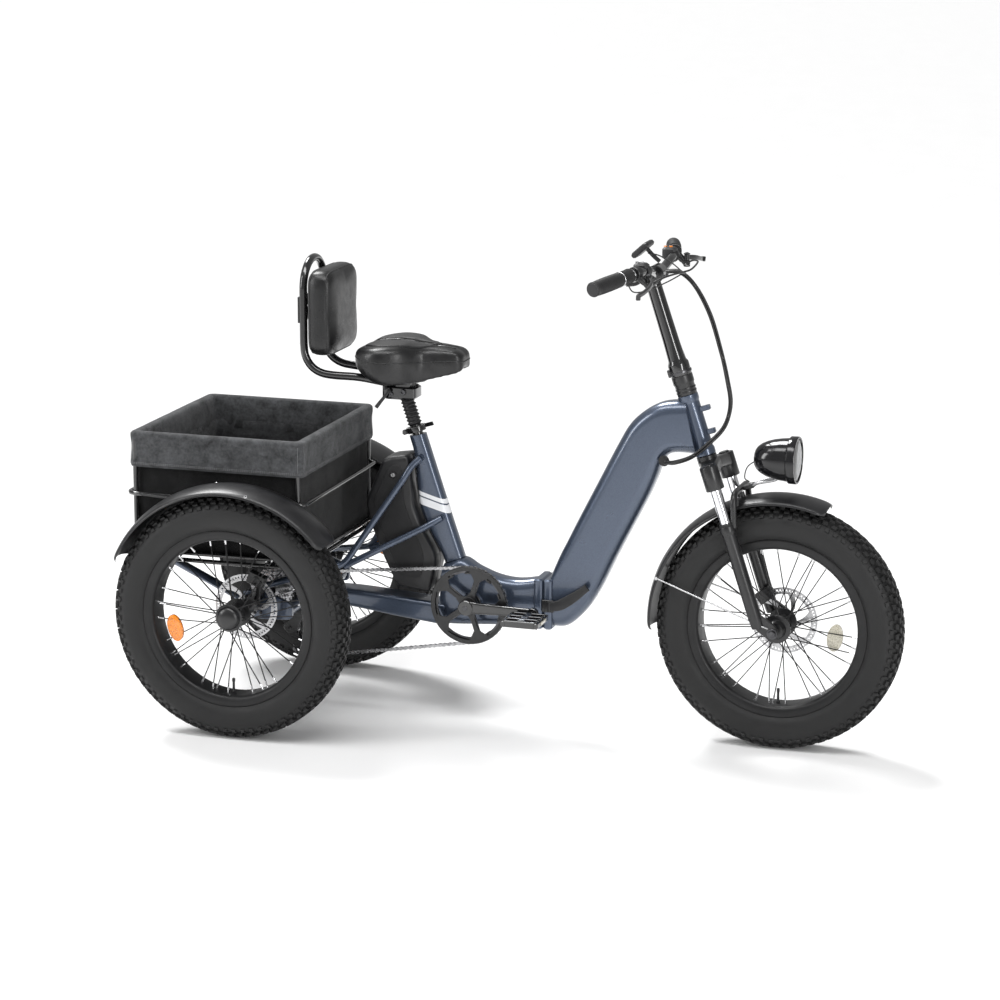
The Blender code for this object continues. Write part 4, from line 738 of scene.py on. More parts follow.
def add_wheels():
    rear_flanges, front_flanges = (-0.0315, 0.0225), (-0.0365, 0.0315)
    rear_profile = [(0.0100, -0.3222), (0.0100, -0.1175), (0.0205, -0.1150), (0.0210, -0.1140),
                    (0.0210, -0.0700),
                    (0.0195, -0.0380), (0.0200, -0.0345), *flange(rear_flanges[0]),
                    (0.0215, -0.0280), (0.0200, -0.0250), (0.0190, -0.0050), (0.0200, 0.0170),
                    (0.0215, 0.0195), *flange(rear_flanges[1]),
                    (0.0295, 0.0256), (0.0286, 0.0275), (0.0284, 0.0330), (0.0276, 0.0352),
                    (0.0240, 0.0385),
                    (0.0215, 0.0402), (0.0150, 0.0426), (0.0080, 0.0438)]
    for side, sign, reflector in (("rear_right", -1, ("orange", 0.150, 195.5, -0.008)),
                                  ("rear_left", 1, ("orange", 0.150, 15.0, 0.008))):
        centre = Vector((0, sign * HALF_TRACK, TYRE_R))
        outward = across(centre) @ (Matrix() if sign > 0 else Matrix.Rotation(pi, 4, "X"))
        add_wheel(side, centre, "wheel_" + side, rear_profile, rear_flanges, outward, reflector)
    front_profile = [(0.0060, -0.0700), (0.0060, -0.0590), (0.0085, -0.0580), (0.0085, -0.0560),
                     (0.0185, -0.0552),
                     (0.0190, -0.0545), (0.0228, -0.0410), (0.0240, -0.0395), *flange(front_flanges[0]),
                     (0.0215, -0.0330), (0.0200, -0.0300), (0.0185, 0.0), (0.0200, 0.0250),
                     (0.0215, 0.0280),
                     *flange(front_flanges[1]), (0.0215, 0.0350), (0.0205, 0.0360), (0.0205, 0.0555),
                     (0.0085, 0.0560),
                     (0.0085, 0.0590), (0.0060, 0.0600), (0.0060, 0.0700)]
    add_wheel("front", FRONT_AXLE, "wheel_front", front_profile, front_flanges, across(FRONT_AXLE),
              ("clear_reflector", 0.135, -7.6, -0.006))
    for side, y, centre, body in (("rear", REAR_DISC_Y, REAR_AXLE, "wheel_rear_right"),
                                  ("front", 0.0480, FRONT_AXLE, "wheel_front")):
        put("rotor_" + side, rotor_mesh(y, centre), "steel", body, "brake_disc_" + side,
            angle=20)
        heads = []
        facing = -1 if y < 0 else 1
        for k in range(6):
            a = tau * (k + 0.5) / 6
            at = centre + Vector((0.0260 * cos(a), y + facing * 0.0009, 0.0260 * sin(a)))
            heads.append(bolt(at, Vector((0, facing, 0)), 0.0038, 0.0024))
        put("rotor_bolts_" + side, merged(*heads), "dark_steel", body)


# ---- frame tubes ----
def loft_stations(stations, half_w, corner, sides=48, steps=4):
    """Rounded section carried smoothly through (top, bottom) stations in the XZ plane."""
    tops = smooth([Vector((t[0], 0, t[1])) for t, _ in stations], steps)
    bottoms = smooth([Vector((b[0], 0, b[1])) for _, b in stations], steps)
    rings = []
    quarter = sides // 4
    for top, bottom in zip(tops, bottoms):
        middle, rise = (top + bottom) / 2, top - bottom
        half_d, up = rise.length / 2, rise.normalized()
        r = min(corner, half_d * 0.98)
        ring = []
        for q, (sy, sz) in enumerate(CORNERS):
            for i in range(quarter):
                a = pi / 2 * (q + i / (quarter - 1))
                ring.append(middle + Vector((0, sy * (half_w - r) + r * cos(a),
                                             0)) + up * (sz * (half_d - r) + r * sin(a)))
        rings.append(ring)
    return mesh_of(rings)


# (top, bottom) of each cross-section as (x, z), from the clamp down
SEAT_TUBE = [((0.3770, 0.7000), (0.3385, 0.6920)), ((0.3890, 0.6640), (0.3500, 0.6520)),
             ((0.4060, 0.6130), (0.3560, 0.5960)), ((0.4290, 0.5440), (0.3650, 0.5230)),
             ((0.4500, 0.4810), (0.3900, 0.4620)), ((0.4690, 0.4260), (0.4190, 0.4100)),
             ((0.4770, 0.4020), (0.4290, 0.3850))]


# lowest and highest height of each white band at its front; both rise towards the back by BAND_FALL
BAND_HEIGHTS = ((0.5310, 0.5420), (0.5080, 0.5270))
BAND_FALL = 0.31


def mast_slice(height, out_by):
    """Front and back of the seat tube on a slanting cut that meets its front at a height."""
    fronts = [Vector((top[0], 0, top[1])) for top, _ in SEAT_TUBE]
    backs = [Vector((bottom[0], 0, bottom[1])) for _, bottom in SEAT_TUBE]
    front = on_chain(fronts, height)
    back = on_chain(backs, height + BAND_FALL * (front.x - on_chain(backs, height).x))
    out = (front - back).normalized() * out_by
    front, back = front + out, back - out
    return (front.x, front.z), (back.x, back.z)


def on_chain(points, height):
    """Point of a falling chain of points at a height."""
    for first, second in zip(points, points[1:]):
        if (first.z - height) * (second.z - height) <= 0:
            return first.lerp(second, (first.z - height) / (first.z - second.z))
    return min(points, key=lambda p: abs(p.z - height))


def add_rear_frame():
    put("seat_mast", loft_stations(SEAT_TUBE, 0.0205, 0.016), "slate", "rear_frame", "seat_tube",
        angle=60)
    bands = []
    for low, high in BAND_HEIGHTS:
        slices = []
        for height in (low, (low + high) / 2, high):
            slices.append(mast_slice(height, 0.0006))
        bands.append(loft_stations(slices, 0.0211, 0.0166, 48, 2))
    put("mast_bands", merged(*bands), "white", "rear_frame", angle=60)
    beam = loft_stations([((0.4290, 0.3835), (0.4180, 0.2350)), ((0.4750, 0.4000), (0.4500, 0.2330)),
                          ((0.5150, 0.3800), (0.5000, 0.2360)), ((0.5650, 0.3620), (0.5600, 0.2400)),
                          ((0.6160, 0.3570), (0.6160, 0.2450)), ((0.6700, 0.3660), (0.6700, 0.2500))],
                          0.0330, 0.024)
    rear = loft_stations([((0.1050, 0.2990), (0.1050, 0.2600)), ((0.1850, 0.3020), (0.1850, 0.2600)),
                          ((0.3000, 0.2960), (0.3000, 0.2460)), ((0.4350, 0.2860), (0.4350, 0.2320))],
                          0.0375, 0.012)
    shell = cross_rod(CRANK_AXLE, -0.0370, 0.0370, 0.0260, 40, 0.001)
    put("lower_beam", merged(beam, rear, shell), "slate", "rear_frame", "frame_beam",
        angle=60)
    plate = block((0.0230, 0.0880, 0.1240), 0.008, Matrix.Translation((FOLD_X - 0.0120, 0, 0.3080)))
    knuckles = [upright_rod(Vector((FOLD_PIVOT.x, FOLD_PIVOT.y, z)), -0.010, 0.010, 0.0085, 28, 0.001)
                for z in (0.2620, 0.3540)]
    link = block((0.0160, 0.0150, 0.1120), 0.003, Matrix.Translation((FOLD_X - 0.0095, 0.0450, 0.3080)))
    put("fold_plate_rear", merged(plate, link, *knuckles), "slate", "rear_frame")
    cups = [cross_rod(CRANK_AXLE, s * 0.0360, s * 0.0405, 0.0215, 32, 0.0008) for s in (-1, 1)]
    put("bracket_cups", merged(*cups), "dark_steel", "rear_frame")

    meet, end = Vector((0.2000, -0.0960, 0.3820)), Vector((0.0300, 0.0070 - CARRIER_Y, 0.3380))
    upper = vectors((0.3720, -0.0270, 0.6430), (0.3540, -0.0400, 0.6250),
                    (0.3340, -0.0510, 0.5880)) + [meet, end]
    lower = vectors((0.4250, -0.0280, 0.4980), (0.4080, -0.0400, 0.4880), (0.3840, -0.0510, 0.4740))
    lower.append(meet + Vector((0, 0.0010, -0.0050)))
    extra = []
    for root, tip in ((Vector((0.3740, -0.0140, 0.6440)), upper[0]),
                      (Vector((0.4250, -0.0140, 0.4990)), lower[0])):
        extra.append(rod(root, tip, 0.0080, 20))
    right = merged(tube(filleted(upper, 0.02, 5), 0.0080, 20),
                   tube(filleted(lower, 0.02, 5), 0.0080, 20), *extra)
    put("rear_stays_left", mirrored(right), "slate", "rear_frame", "stays_left",
        angle=50)
    put("rear_stays_right", right, "slate", "rear_frame", "stays_right", angle=50)


def add_axle_parts():
    reach = CARRIER_Y + 0.0040
    shapes = [cross_rod(Vector((0.0860, 0, 0.2800)), -reach, reach, 0.0160, 32, 0.001)]
    for sign in (-1, 1):
        middle = sign * CARRIER_Y
        outline = [(0.105, 0.262), (0.105, 0.300), (0.040, 0.327), (-0.020, 0.327), (-0.034, 0.306),
                   (-0.034, 0.280),
                   (-0.018, 0.263), (0.030, 0.258)]
        shapes.append(side_plate(outline, middle - 0.0060, middle + 0.0060, 0.0012, 0.012))
        start = Vector((-0.020, middle - sign * 0.0050, 0.300))
        shapes.append(rod(start, Vector((-0.240, sign * 0.1500, 0.3810)), 0.0105, 24, 0.001))
    put("carrier_frame", merged(*shapes), "slate", "rear_frame", "axle_carrier",
        angle=40)
    bearings = []
    for sign in (-1, 1):
        for y in (sign * (CARRIER_Y + 0.0058), sign * (CARRIER_Y - 0.0058)):
            bearings.append(cross_rod(REAR_AXLE, y - 0.0022, y + 0.0022, 0.0235, 40, 0.0008))
        for dx, dz in ((0.024, 0.021), (-0.024, 0.021), (0.024, -0.021), (-0.020, -0.021)):
            bearings.append(bolt(Vector((dx, sign * (CARRIER_Y + 0.0055), TYRE_R + dz)),
                                 Vector((0, sign, 0)), 0.0042, 0.0034))
    put("axle_bearings", merged(*bearings), "dark_steel", "rear_frame")

    profile = [(0.0115, -0.0380), (0.0300, -0.0380), (0.0480, -0.0374), (0.0500, -0.0366),
               (0.0620, -0.0312), (0.0640, -0.0296),
               (0.0645, -0.0200), (0.0652, 0.0100), (0.0658, 0.0400), (0.0660, 0.0790),
               (0.0652, 0.0812),
               (0.0575, 0.0930), (0.0556, 0.0950), (0.0250, 0.0985), (0.0115, 0.0990)]
    case = turned(profile, 64, across(REAR_AXLE))
    arm = block((0.030, 0.060, 0.024), 0.004, Matrix.Translation((0.0640, 0.030, 0.3050)))
    heads = [bolt(REAR_AXLE + Vector((0.0440 * cos(tau * k / 6), -0.0372, 0.0440 * sin(tau * k / 6))),
                  Vector((0, -1, 0)), 0.0034, 0.0026)
             for k in range(6)]
    put("motor_case", merged(case, arm), "satin_black", "rear_frame", "motor_housing",
        angle=35)
    put("motor_bolts", merged(*heads), "dark_steel", "rear_frame")
    add_caliper("rear", REAR_AXLE, 68, 0.076, REAR_DISC_Y, "rear_frame")
    face = -CARRIER_Y - 0.0064
    arm = block((0.0150, -REAR_DISC_Y - 0.0040 + face, 0.0560), 0.003,
                Matrix.Translation((0.0270, (REAR_DISC_Y + 0.0040 + face) / 2, 0.3400)))
    put("caliper_arm_rear", arm, "satin_black", "rear_frame")


def add_caliper(side, axle, degrees, radius, y, body):
    """Two halves that straddle the disc, joined above it, with a cable arm."""
    turn = radians(degrees)
    place = Matrix.Translation(axle + Vector((radius * cos(turn), y,
                                              radius * sin(turn)))) @ Matrix.Rotation(pi / 2 - turn, 4,
                                                            "Y")
    shapes = []
    for sign in (-1, 1):
        shapes.append(block((0.044, 0.0090, 0.030), 0.0040,
                            place @ Matrix.Translation((0, sign * 0.0068, 0))))
        shapes.append(bolt(place @ Vector((0.013, sign * 0.0112, 0)),
                           place.to_3x3() @ Vector((0, sign, 0)), 0.0045, 0.0030))
    shapes.append(block((0.044, 0.0220, 0.0090), 0.0030, place @ Matrix.Translation((0, 0, 0.0105))))
    shapes.append(turned([(0.0105, 0.0105), (0.0105, 0.0125), (0.0085, 0.0135), (0.0060, 0.0137)], 24,
                         place @ Matrix.Rotation(-pi / 2 if y > 0 else pi / 2, 4, "X")))
    put("caliper_" + side, merged(*shapes), "satin_black", body, "brake_caliper_" + side)


# ---- basket ----
BASKET_CORNER_R = 0.022
CUFF_OUT = 0.0004
FOLD_SIZE = 0.055
CUFF_SEED = 3.1


def basket_point(inset, t, height):
    """Point at share t of the way round the basket, at an inset from its outside."""
    low_x, high_x = BASKET_REAR + inset, BASKET_FRONT - inset
    y = BASKET_HALF_W - inset
    r = max(0.012, BASKET_CORNER_R - inset)
    sides = [(high_x - low_x - 2 * r), (2 * y - 2 * r)] * 2
    arc = pi / 2 * r
    total = sum(sides) + 4 * arc
    walked = (t % 1.0) * total
    corners = vectors((high_x - r, y - r, 0), (low_x + r, y - r, 0), (low_x + r, r - y, 0),
                      (high_x - r, r - y, 0))
    ways = vectors((-1, 0, 0), (0, -1, 0), (1, 0, 0), (0, 1, 0))
    outs = vectors((0, 1, 0), (-1, 0, 0), (0, -1, 0), (1, 0, 0))
    for k in range(4):
        if walked <= sides[k]:
            return corners[k] + outs[k] * r + ways[k] * walked + Vector((0, 0, height)), outs[k]
        walked -= sides[k]
        if walked <= arc:
            a = walked / r
            out = outs[k] * cos(a) + outs[(k + 1) % 4] * sin(a)
            return corners[(k + 1) % 4] + out * r + Vector((0, 0, height)), out
        walked -= arc
    return corners[0] + outs[0] * r + Vector((0, 0, height)), outs[0]


def ripple(point, deep, seed):
    """Height of the cloth's wrinkles at a point: long soft folds with a finer crumple on them."""
    p = point + Vector((seed, seed * 1.7, 0))
    folds = noise.noise(Vector((p.x / FOLD_SIZE, p.y / FOLD_SIZE, p.z / FOLD_SIZE * 0.55)))
    crumple = noise.noise(Vector((p.x * 48, p.y * 48, p.z * 38)))
    slant = noise.noise(Vector((p.x / 0.09 + p.z / 0.05, p.y / 0.09, p.z / 0.12)))
    return deep * (folds * 0.65 + crumple * 0.25 + slant * 0.5)


def cloth_ring(inset, height, deep, seed, count=420):
    ring = []
    for i in range(count):
        point, out = basket_point(inset, i / count, height)
        lift = ripple(point, deep, seed)
        ring.append(point + out * (lift - deep * 0.55))
    return ring


def cloth_band(profile, seed):
    """Closed strip of cloth round the basket from (inset, height, wrinkle depth) stations."""
    return mesh_of([cloth_ring(inset, z, deep, seed) for inset, z, deep in profile], looped=True)


def stitch_line(place_at, count, length, out_by):
    """Row of short raised stitches; place_at(t) gives a point and its outward direction."""
    build = bmesh.new()
    for k in range(count):
        t = (k + 0.5) / count
        here, out = place_at(t)
        ahead, _ = place_at(t + 0.0008)
        way = (ahead - here).normalized()
        side = way.cross(out).normalized()
        base = here + out * out_by
        rings = []
        for s, w in ((-0.5, 0.4), (-0.25, 1.0), (0.25, 1.0), (0.5, 0.4)):
            c = base + way * (s * length)
            rings.append([build.verts.new(c + side * (0.00042 * w * a) + out * (0.00032 * w * b)) for a,
                          b in ((1, 0), (0, 1), (-1, 0), (0, -1))])
        for first, second in zip(rings, rings[1:]):
            for i in range(4):
                build.faces.new((first[i], first[(i + 1) % 4], second[(i + 1) % 4], second[i]))
        build.faces.new(rings[0][::-1])
        build.faces.new(rings[-1])
    bmesh.ops.recalc_face_normals(build, faces=build.faces)
    return finished(build)


def add_basket():
    top, cuff = BASKET_TOP, CUFF_BOTTOM
    deep = 0.0070
    outer = [(0.0030, cuff, 0.002)]
    for k in range(1, 12):
        outer.append((CUFF_OUT, cuff + (top - 0.012 - cuff) * k / 11,
                      deep * (0.45 + 0.55 * sin(pi * k / 11))))
    roll = [(0.0016, top - 0.0060, 0.002), (0.0060, top - 0.0018, 0.0018),
            (0.0130, top - 0.0003, 0.0015),
            (0.0210, top - 0.0012, 0.0018), (0.0262, top - 0.0060, 0.002)]
    inner = [(0.0285, top - 0.0200, 0.003), (0.0290, top - 0.0500, 0.004), (0.0290, 0.6300, 0.004),
             (0.0275, 0.6290, 0.003),
             (0.0262, 0.6600, 0.002), (0.0225, top - 0.0120, 0.001), (0.0130, top - 0.0080, 0.001),
             (0.0065, top - 0.0130, 0.001),
             (0.0055, 0.6700, 0.002), (0.0052, cuff + 0.002, 0.002)]
    put("basket_cuff", cloth_band(outer + roll + inner, CUFF_SEED), "canvas", "rear_frame",
        "basket_liner", angle=70)
    lining = []
    for k in range(12):
        lining.append((0.0292 + 0.0012 * sin(pi * k / 11),
                       0.6500 - (0.6500 - BASKET_BOTTOM - 0.012) * k / 11, 0.0050))
    floor_inset = [0.040, 0.080, 0.130, 0.180, 0.215, 0.2254]
    inside = [cloth_ring(i, z, d, 5.2, 300) for i, z, d in lining]
    for inset in floor_inset:
        ring = []
        for i in range(300):
            point, out = basket_point(0.0300, i / 300, BASKET_BOTTOM + 0.009)
            middle = Vector(((BASKET_REAR + BASKET_FRONT) / 2, 0, point.z))
            point = middle.lerp(point, 1 - inset / 0.2255)
            ring.append(point + Vector((0, 0, ripple(point * 1.3, 0.004, 2.0))))
        inside.append(ring)
    lining_piece = put("basket_lining", mesh_of(inside, capped=False), "lining", "rear_frame",
                       angle=70)
    bag = [(0.0150, 0.6500, 0.0020)]
    for k in range(1, 14):
        bag.append((0.0140, 0.6500 - (0.6500 - BASKET_BOTTOM - 0.008) * k / 13, 0.0058))
    bag += [(0.0170, BASKET_BOTTOM + 0.002, 0.003), (0.0240, BASKET_BOTTOM + 0.0005, 0.001),
            (0.1200, BASKET_BOTTOM, 0.001),
            (0.2250, BASKET_BOTTOM, 0.001)]
    outside = [cloth_ring(i, z, d, 8.4, 340) for i, z, d in bag]
    bag_piece = put("basket_bag", mesh_of(outside, capped=False), "bag", "rear_frame",
                    angle=70)
    for piece in (lining_piece, bag_piece):
        step = piece.modifiers.new("cloth_thickness", "SOLIDIFY")
        step.thickness, step.offset = 0.0012, 0.0

    def on_cuff(share, height, depth):
        point, out = basket_point(CUFF_OUT, share, height)
        return point + out * (ripple(point, depth, CUFF_SEED) - depth * 0.55), out

    def hem(height):
        return lambda t: on_cuff(t, height, deep * 0.55)

    def corner_seam(share):
        low, high = cuff + 0.012, top - 0.012
        return lambda t: on_cuff(share, low + (high - low) * t, deep * 0.8)

    rows = [stitch_line(hem(cuff + z), 400, 0.0028, 0.0011) for z in (0.0075, 0.0105)]
    for share in corner_shares():
        for shift in (-0.0045, 0.0045):
            rows.append(stitch_line(corner_seam(share + shift), 20, 0.0028, 0.0011))
    put("basket_stitches", merged(*rows), "thread", "rear_frame")
    add_basket_frame()


def corner_shares():
    """Shares of the way round at which the four corners' middles lie."""
    r = BASKET_CORNER_R - CUFF_OUT
    side_x, side_y, arc = BASKET_FRONT - BASKET_REAR - 2 * r, 2 * BASKET_HALF_W - 2 * r, pi / 2 * r
    total = 2 * (side_x + side_y) + 4 * arc
    marks, walked = [], 0.0
    for side in (side_x, side_y, side_x, side_y):
        walked += side
        marks.append((walked + arc / 2) / total)
        walked += arc
    return marks


def add_basket_frame():
    r, inset = 0.0055, 0.0160

    def ring(ring_inset, z):
        return [basket_point(ring_inset, i / 120, z)[0] for i in range(120)]

    shapes = [tube(ring(inset, BASKET_TOP - 0.022), r, 14, closed=True),
              tube(ring(-0.0010, 0.5600), r, 14, closed=True),
              tube(ring(inset, 0.4000), r, 14, closed=True), tube(ring(0.0080, 0.4200), r, 14,
                                                            closed=True)]
    for x in (BASKET_REAR + 0.018, BASKET_FRONT - 0.018):
        for sign in (-1, 1):
            y = sign * (BASKET_HALF_W - 0.0100)
            shapes.append(rod(Vector((x, y, 0.398)), Vector((x, y, BASKET_TOP - 0.020)), r * 1.15, 14))
    for y in (-0.1500, -0.050, 0.050, 0.1500):
        shapes.append(rod(Vector((BASKET_REAR + inset, y, 0.4000)),
                          Vector((BASKET_FRONT - inset, y, 0.4000)), r * 0.8, 12))
    put("basket_tubes", merged(*shapes), "gloss_black", "rear_frame", "basket_frame",
        angle=50)


def fender_mesh(centre, crown, half_w, start_deg, end_deg):
    """Crowned blade with rolled edges and rounded ends, carried round the wheel."""
    shares = [-1.0, -0.97, -0.85, -0.6, -0.3, 0.0, 0.3, 0.6, 0.85, 0.97, 1.0]
    drops = [0.0150, 0.0118, 0.0083, 0.0040, 0.0010, 0.0, 0.0010, 0.0040, 0.0083, 0.0118, 0.0150]
    steps = 72
    rings = []
    for i in range(steps + 1):
        a = radians(start_deg + (end_deg - start_deg) * i / steps)
        from_end = min(i, steps - i) / steps
        narrow = sqrt(max(0.0, 1 - (1 - min(1.0, from_end / 0.045)) ** 2)) * 0.30 + 0.70
        outline = [(half_w * s * narrow, crown - d) for s, d in zip(shares, drops)]
        outline += [(y, r - 0.0026) for y, r in reversed(outline)]
        rings.append([centre + Vector((r * cos(a), y, r * sin(a))) for y, r in outline])
    return mesh_of(rings)


def add_rear_fenders():
    for side, sign in (("right", -1), ("left", 1)):
        centre = Vector((0, sign * HALF_TRACK, TYRE_R))
        blade = fender_mesh(centre, FENDER_R, 0.0590, 38, 157)
        stays, heads = [], []
        for x in (BASKET_REAR + 0.034, BASKET_FRONT - 0.034):
            inner = Vector((x, sign * (BASKET_HALF_W + 0.0024), 0.5600))
            outer = Vector((x * 0.62, sign * (HALF_TRACK - 0.0540),
                            centre.z + sqrt((FENDER_R - 0.014) ** 2 - (x * 0.62) ** 2)))
            stays.append(rod(inner, outer, 0.004, 14))
        put("mudguard_rear_" + side, merged(blade, *stays), "fender", "rear_frame",
            "fender_rear_" + side, angle=42)
        for degrees, y in ((79.0, sign * 0.052), (100.0, -sign * 0.046), (120.0, -sign * 0.046)):
            a = radians(degrees)
            drop = 0.0112 if abs(y) > 0.05 else 0.0080
            at = centre + Vector(((FENDER_R - drop) * cos(a), y, (FENDER_R - drop) * sin(a)))
            heads.append(bolt(at, Vector((cos(a), sign * 0.3 if y * sign > 0 else -sign * 0.3,
                                          sin(a))).normalized(), 0.0048, 0.0030))
        put("mudguard_bolts_" + side, merged(*heads), "nipple", "rear_frame")


# ---- drive train ----
GUIDE_PULLEY = Vector((0.0440, 0, 0.2060))
TENSION_PULLEY = Vector((0.0760, 0, 0.1500))
PULLEY_R = 0.0215


def pitch_radius(teeth):
    return CHAIN_PITCH / (2 * sin(pi / teeth))


def belt_path(wheels, step_angle):
    """Path round wheels of (centre, radius, turn), with turn 1 clockwise seen from the right side."""
    links = []
    for (c1, r1, s1), (c2, r2, s2) in zip(wheels, wheels[1:] + wheels[:1]):
        gap = c2 - c1
        heading = atan2(gap.z, gap.x) - asin((s1 * r1 - s2 * r2) / gap.length)
        left = Vector((-sin(heading), 0, cos(heading)))
        links.append((heading, c1 + left * (s1 * r1), c2 + left * (s2 * r2)))
    path = []
    for i, (centre, radius, turn) in enumerate(wheels):
        arrive, leave = links[i - 1][2], links[i][1]
        a = atan2(arrive.z - centre.z, arrive.x - centre.x)
        b = atan2(leave.z - centre.z, leave.x - centre.x)
        angle = (a - b) % tau if turn > 0 else (b - a) % tau
        steps = max(2, round(angle / step_angle))
        for k in range(steps + 1):
            c = a - turn * angle * k / steps
            path.append(centre + Vector((radius * cos(c), 0, radius * sin(c))))
    return path


def add_chain():
    wheels = [(CRANK_AXLE, pitch_radius(46), 1), (TENSION_PULLEY, PULLEY_R, 1),
              (GUIDE_PULLEY, PULLEY_R, -1),
              (REAR_AXLE, pitch_radius(20), 1)]
    pins = spaced(belt_path(wheels, radians(5)), CHAIN_PITCH, closed=True)
    plates, rollers = [], []
    for k, (a, b) in enumerate(zip(pins, pins[1:] + pins[:1])):
        along = (b - a).normalized()
        up = Vector((-along.z, 0, along.x))
        half = 0.0041
        outline = []
        for centre, start in ((a, pi / 2), (b, -pi / 2)):
            for i in range(5):
                t = start + pi * i / 4
                outline.append(centre + along * (half * cos(t)) + up * (half * sin(t)))
            outline.append(centre.lerp(b if centre is a else a,
                                       0.5) + up * (-half * 0.62 if centre is a else half * 0.62))
        offset = 0.0036 if k % 2 else 0.0026
        for y in (-offset, offset):
            rings = [[p + Vector((0, CHAIN_Y + y + d, 0)) for p in outline]
                     for d in (-0.00045, 0.00045)]
            plates.append(mesh_of(rings))
        rollers.append(cross_rod(a, CHAIN_Y - 0.0046, CHAIN_Y + 0.0046, 0.0019, 8))
        rollers.append(cross_rod(a, CHAIN_Y - 0.0022, CHAIN_Y + 0.0022, 0.0038, 10))
    put("chain_links", merged(*plates, *rollers), "chain", "rear_frame", "chain", angle=30)


def add_sprockets():
    place = across(REAR_AXLE)
    cogs = []
    for k, teeth in enumerate((11, 13, 15, 17, 20, 24, 28)):
        y = -0.0790 + 0.0042 * k if teeth < 20 else CHAIN_Y + 0.0046 * (k - 4)
        r = min(pitch_radius(teeth) + 0.0022, 0.0530)
        r = r if teeth != 20 else pitch_radius(20) + 0.0010
        cogs.append(toothed(teeth, r, r - 0.0050, 0.0190, y - 0.0009, y + 0.0009, place))
    cogs.append(sleeve(0.0125, 0.0210, -0.0780, -0.0440, 0.001, 40, place))
    put("sprocket_stack", merged(*cogs), "steel", "cassette", "cassette", angle=25)

    y = CHAIN_Y
    hanger = side_plate([(0.068, 0.262), (0.096, 0.262), (0.066, 0.196), (0.044, 0.192), (0.032, 0.206),
                         (0.048, 0.222)],
                        y - 0.0200, y - 0.0125, 0.001, 0.006)
    foot = block((0.0240, 0.0300, 0.0060), 0.002, Matrix.Translation((0.0860, y - 0.0100, 0.2611)))
    joints = [bolt(Vector((x, y - 0.0200, z)), Vector((0, -1, 0)), 0.0050, 0.0030) for x,
              z in ((0.076, 0.250), (0.050, 0.206))]
    put("gear_hanger", merged(hanger, foot, *joints), "satin_black", "rear_frame", "derailleur_body")
    plates = []
    for low, high in ((y - 0.0105, y - 0.0085), (y + 0.0050, y + 0.0070)):
        outline = []
        for centre, start in ((GUIDE_PULLEY, 60), (TENSION_PULLEY, 240)):
            for k in range(9):
                a = radians(start + k * 22.5 - 30)
                outline.append((centre.x + 0.012 * cos(a), centre.z + 0.012 * sin(a)))
        plates.append(side_plate(outline, low, high, 0.0004))
    for centre in (GUIDE_PULLEY, TENSION_PULLEY):
        plates.append(toothed(11, PULLEY_R - 0.0012, PULLEY_R - 0.0048, 0.0060, y - 0.0016, y + 0.0016,
                              across(centre)))
        plates.append(cross_rod(centre, y - 0.0115, y + 0.0080, 0.0050, 16, 0.0006))
    put("gear_cage", merged(*plates), "plastic", "rear_frame", "derailleur_cage",
        angle=30)


def pedal_centre(sign):
    reach = CRANK_LENGTH if sign < 0 else -CRANK_LENGTH
    return CRANK_AXLE + Vector((reach, sign * 0.1050, 0.0020 if sign < 0 else -0.0020))


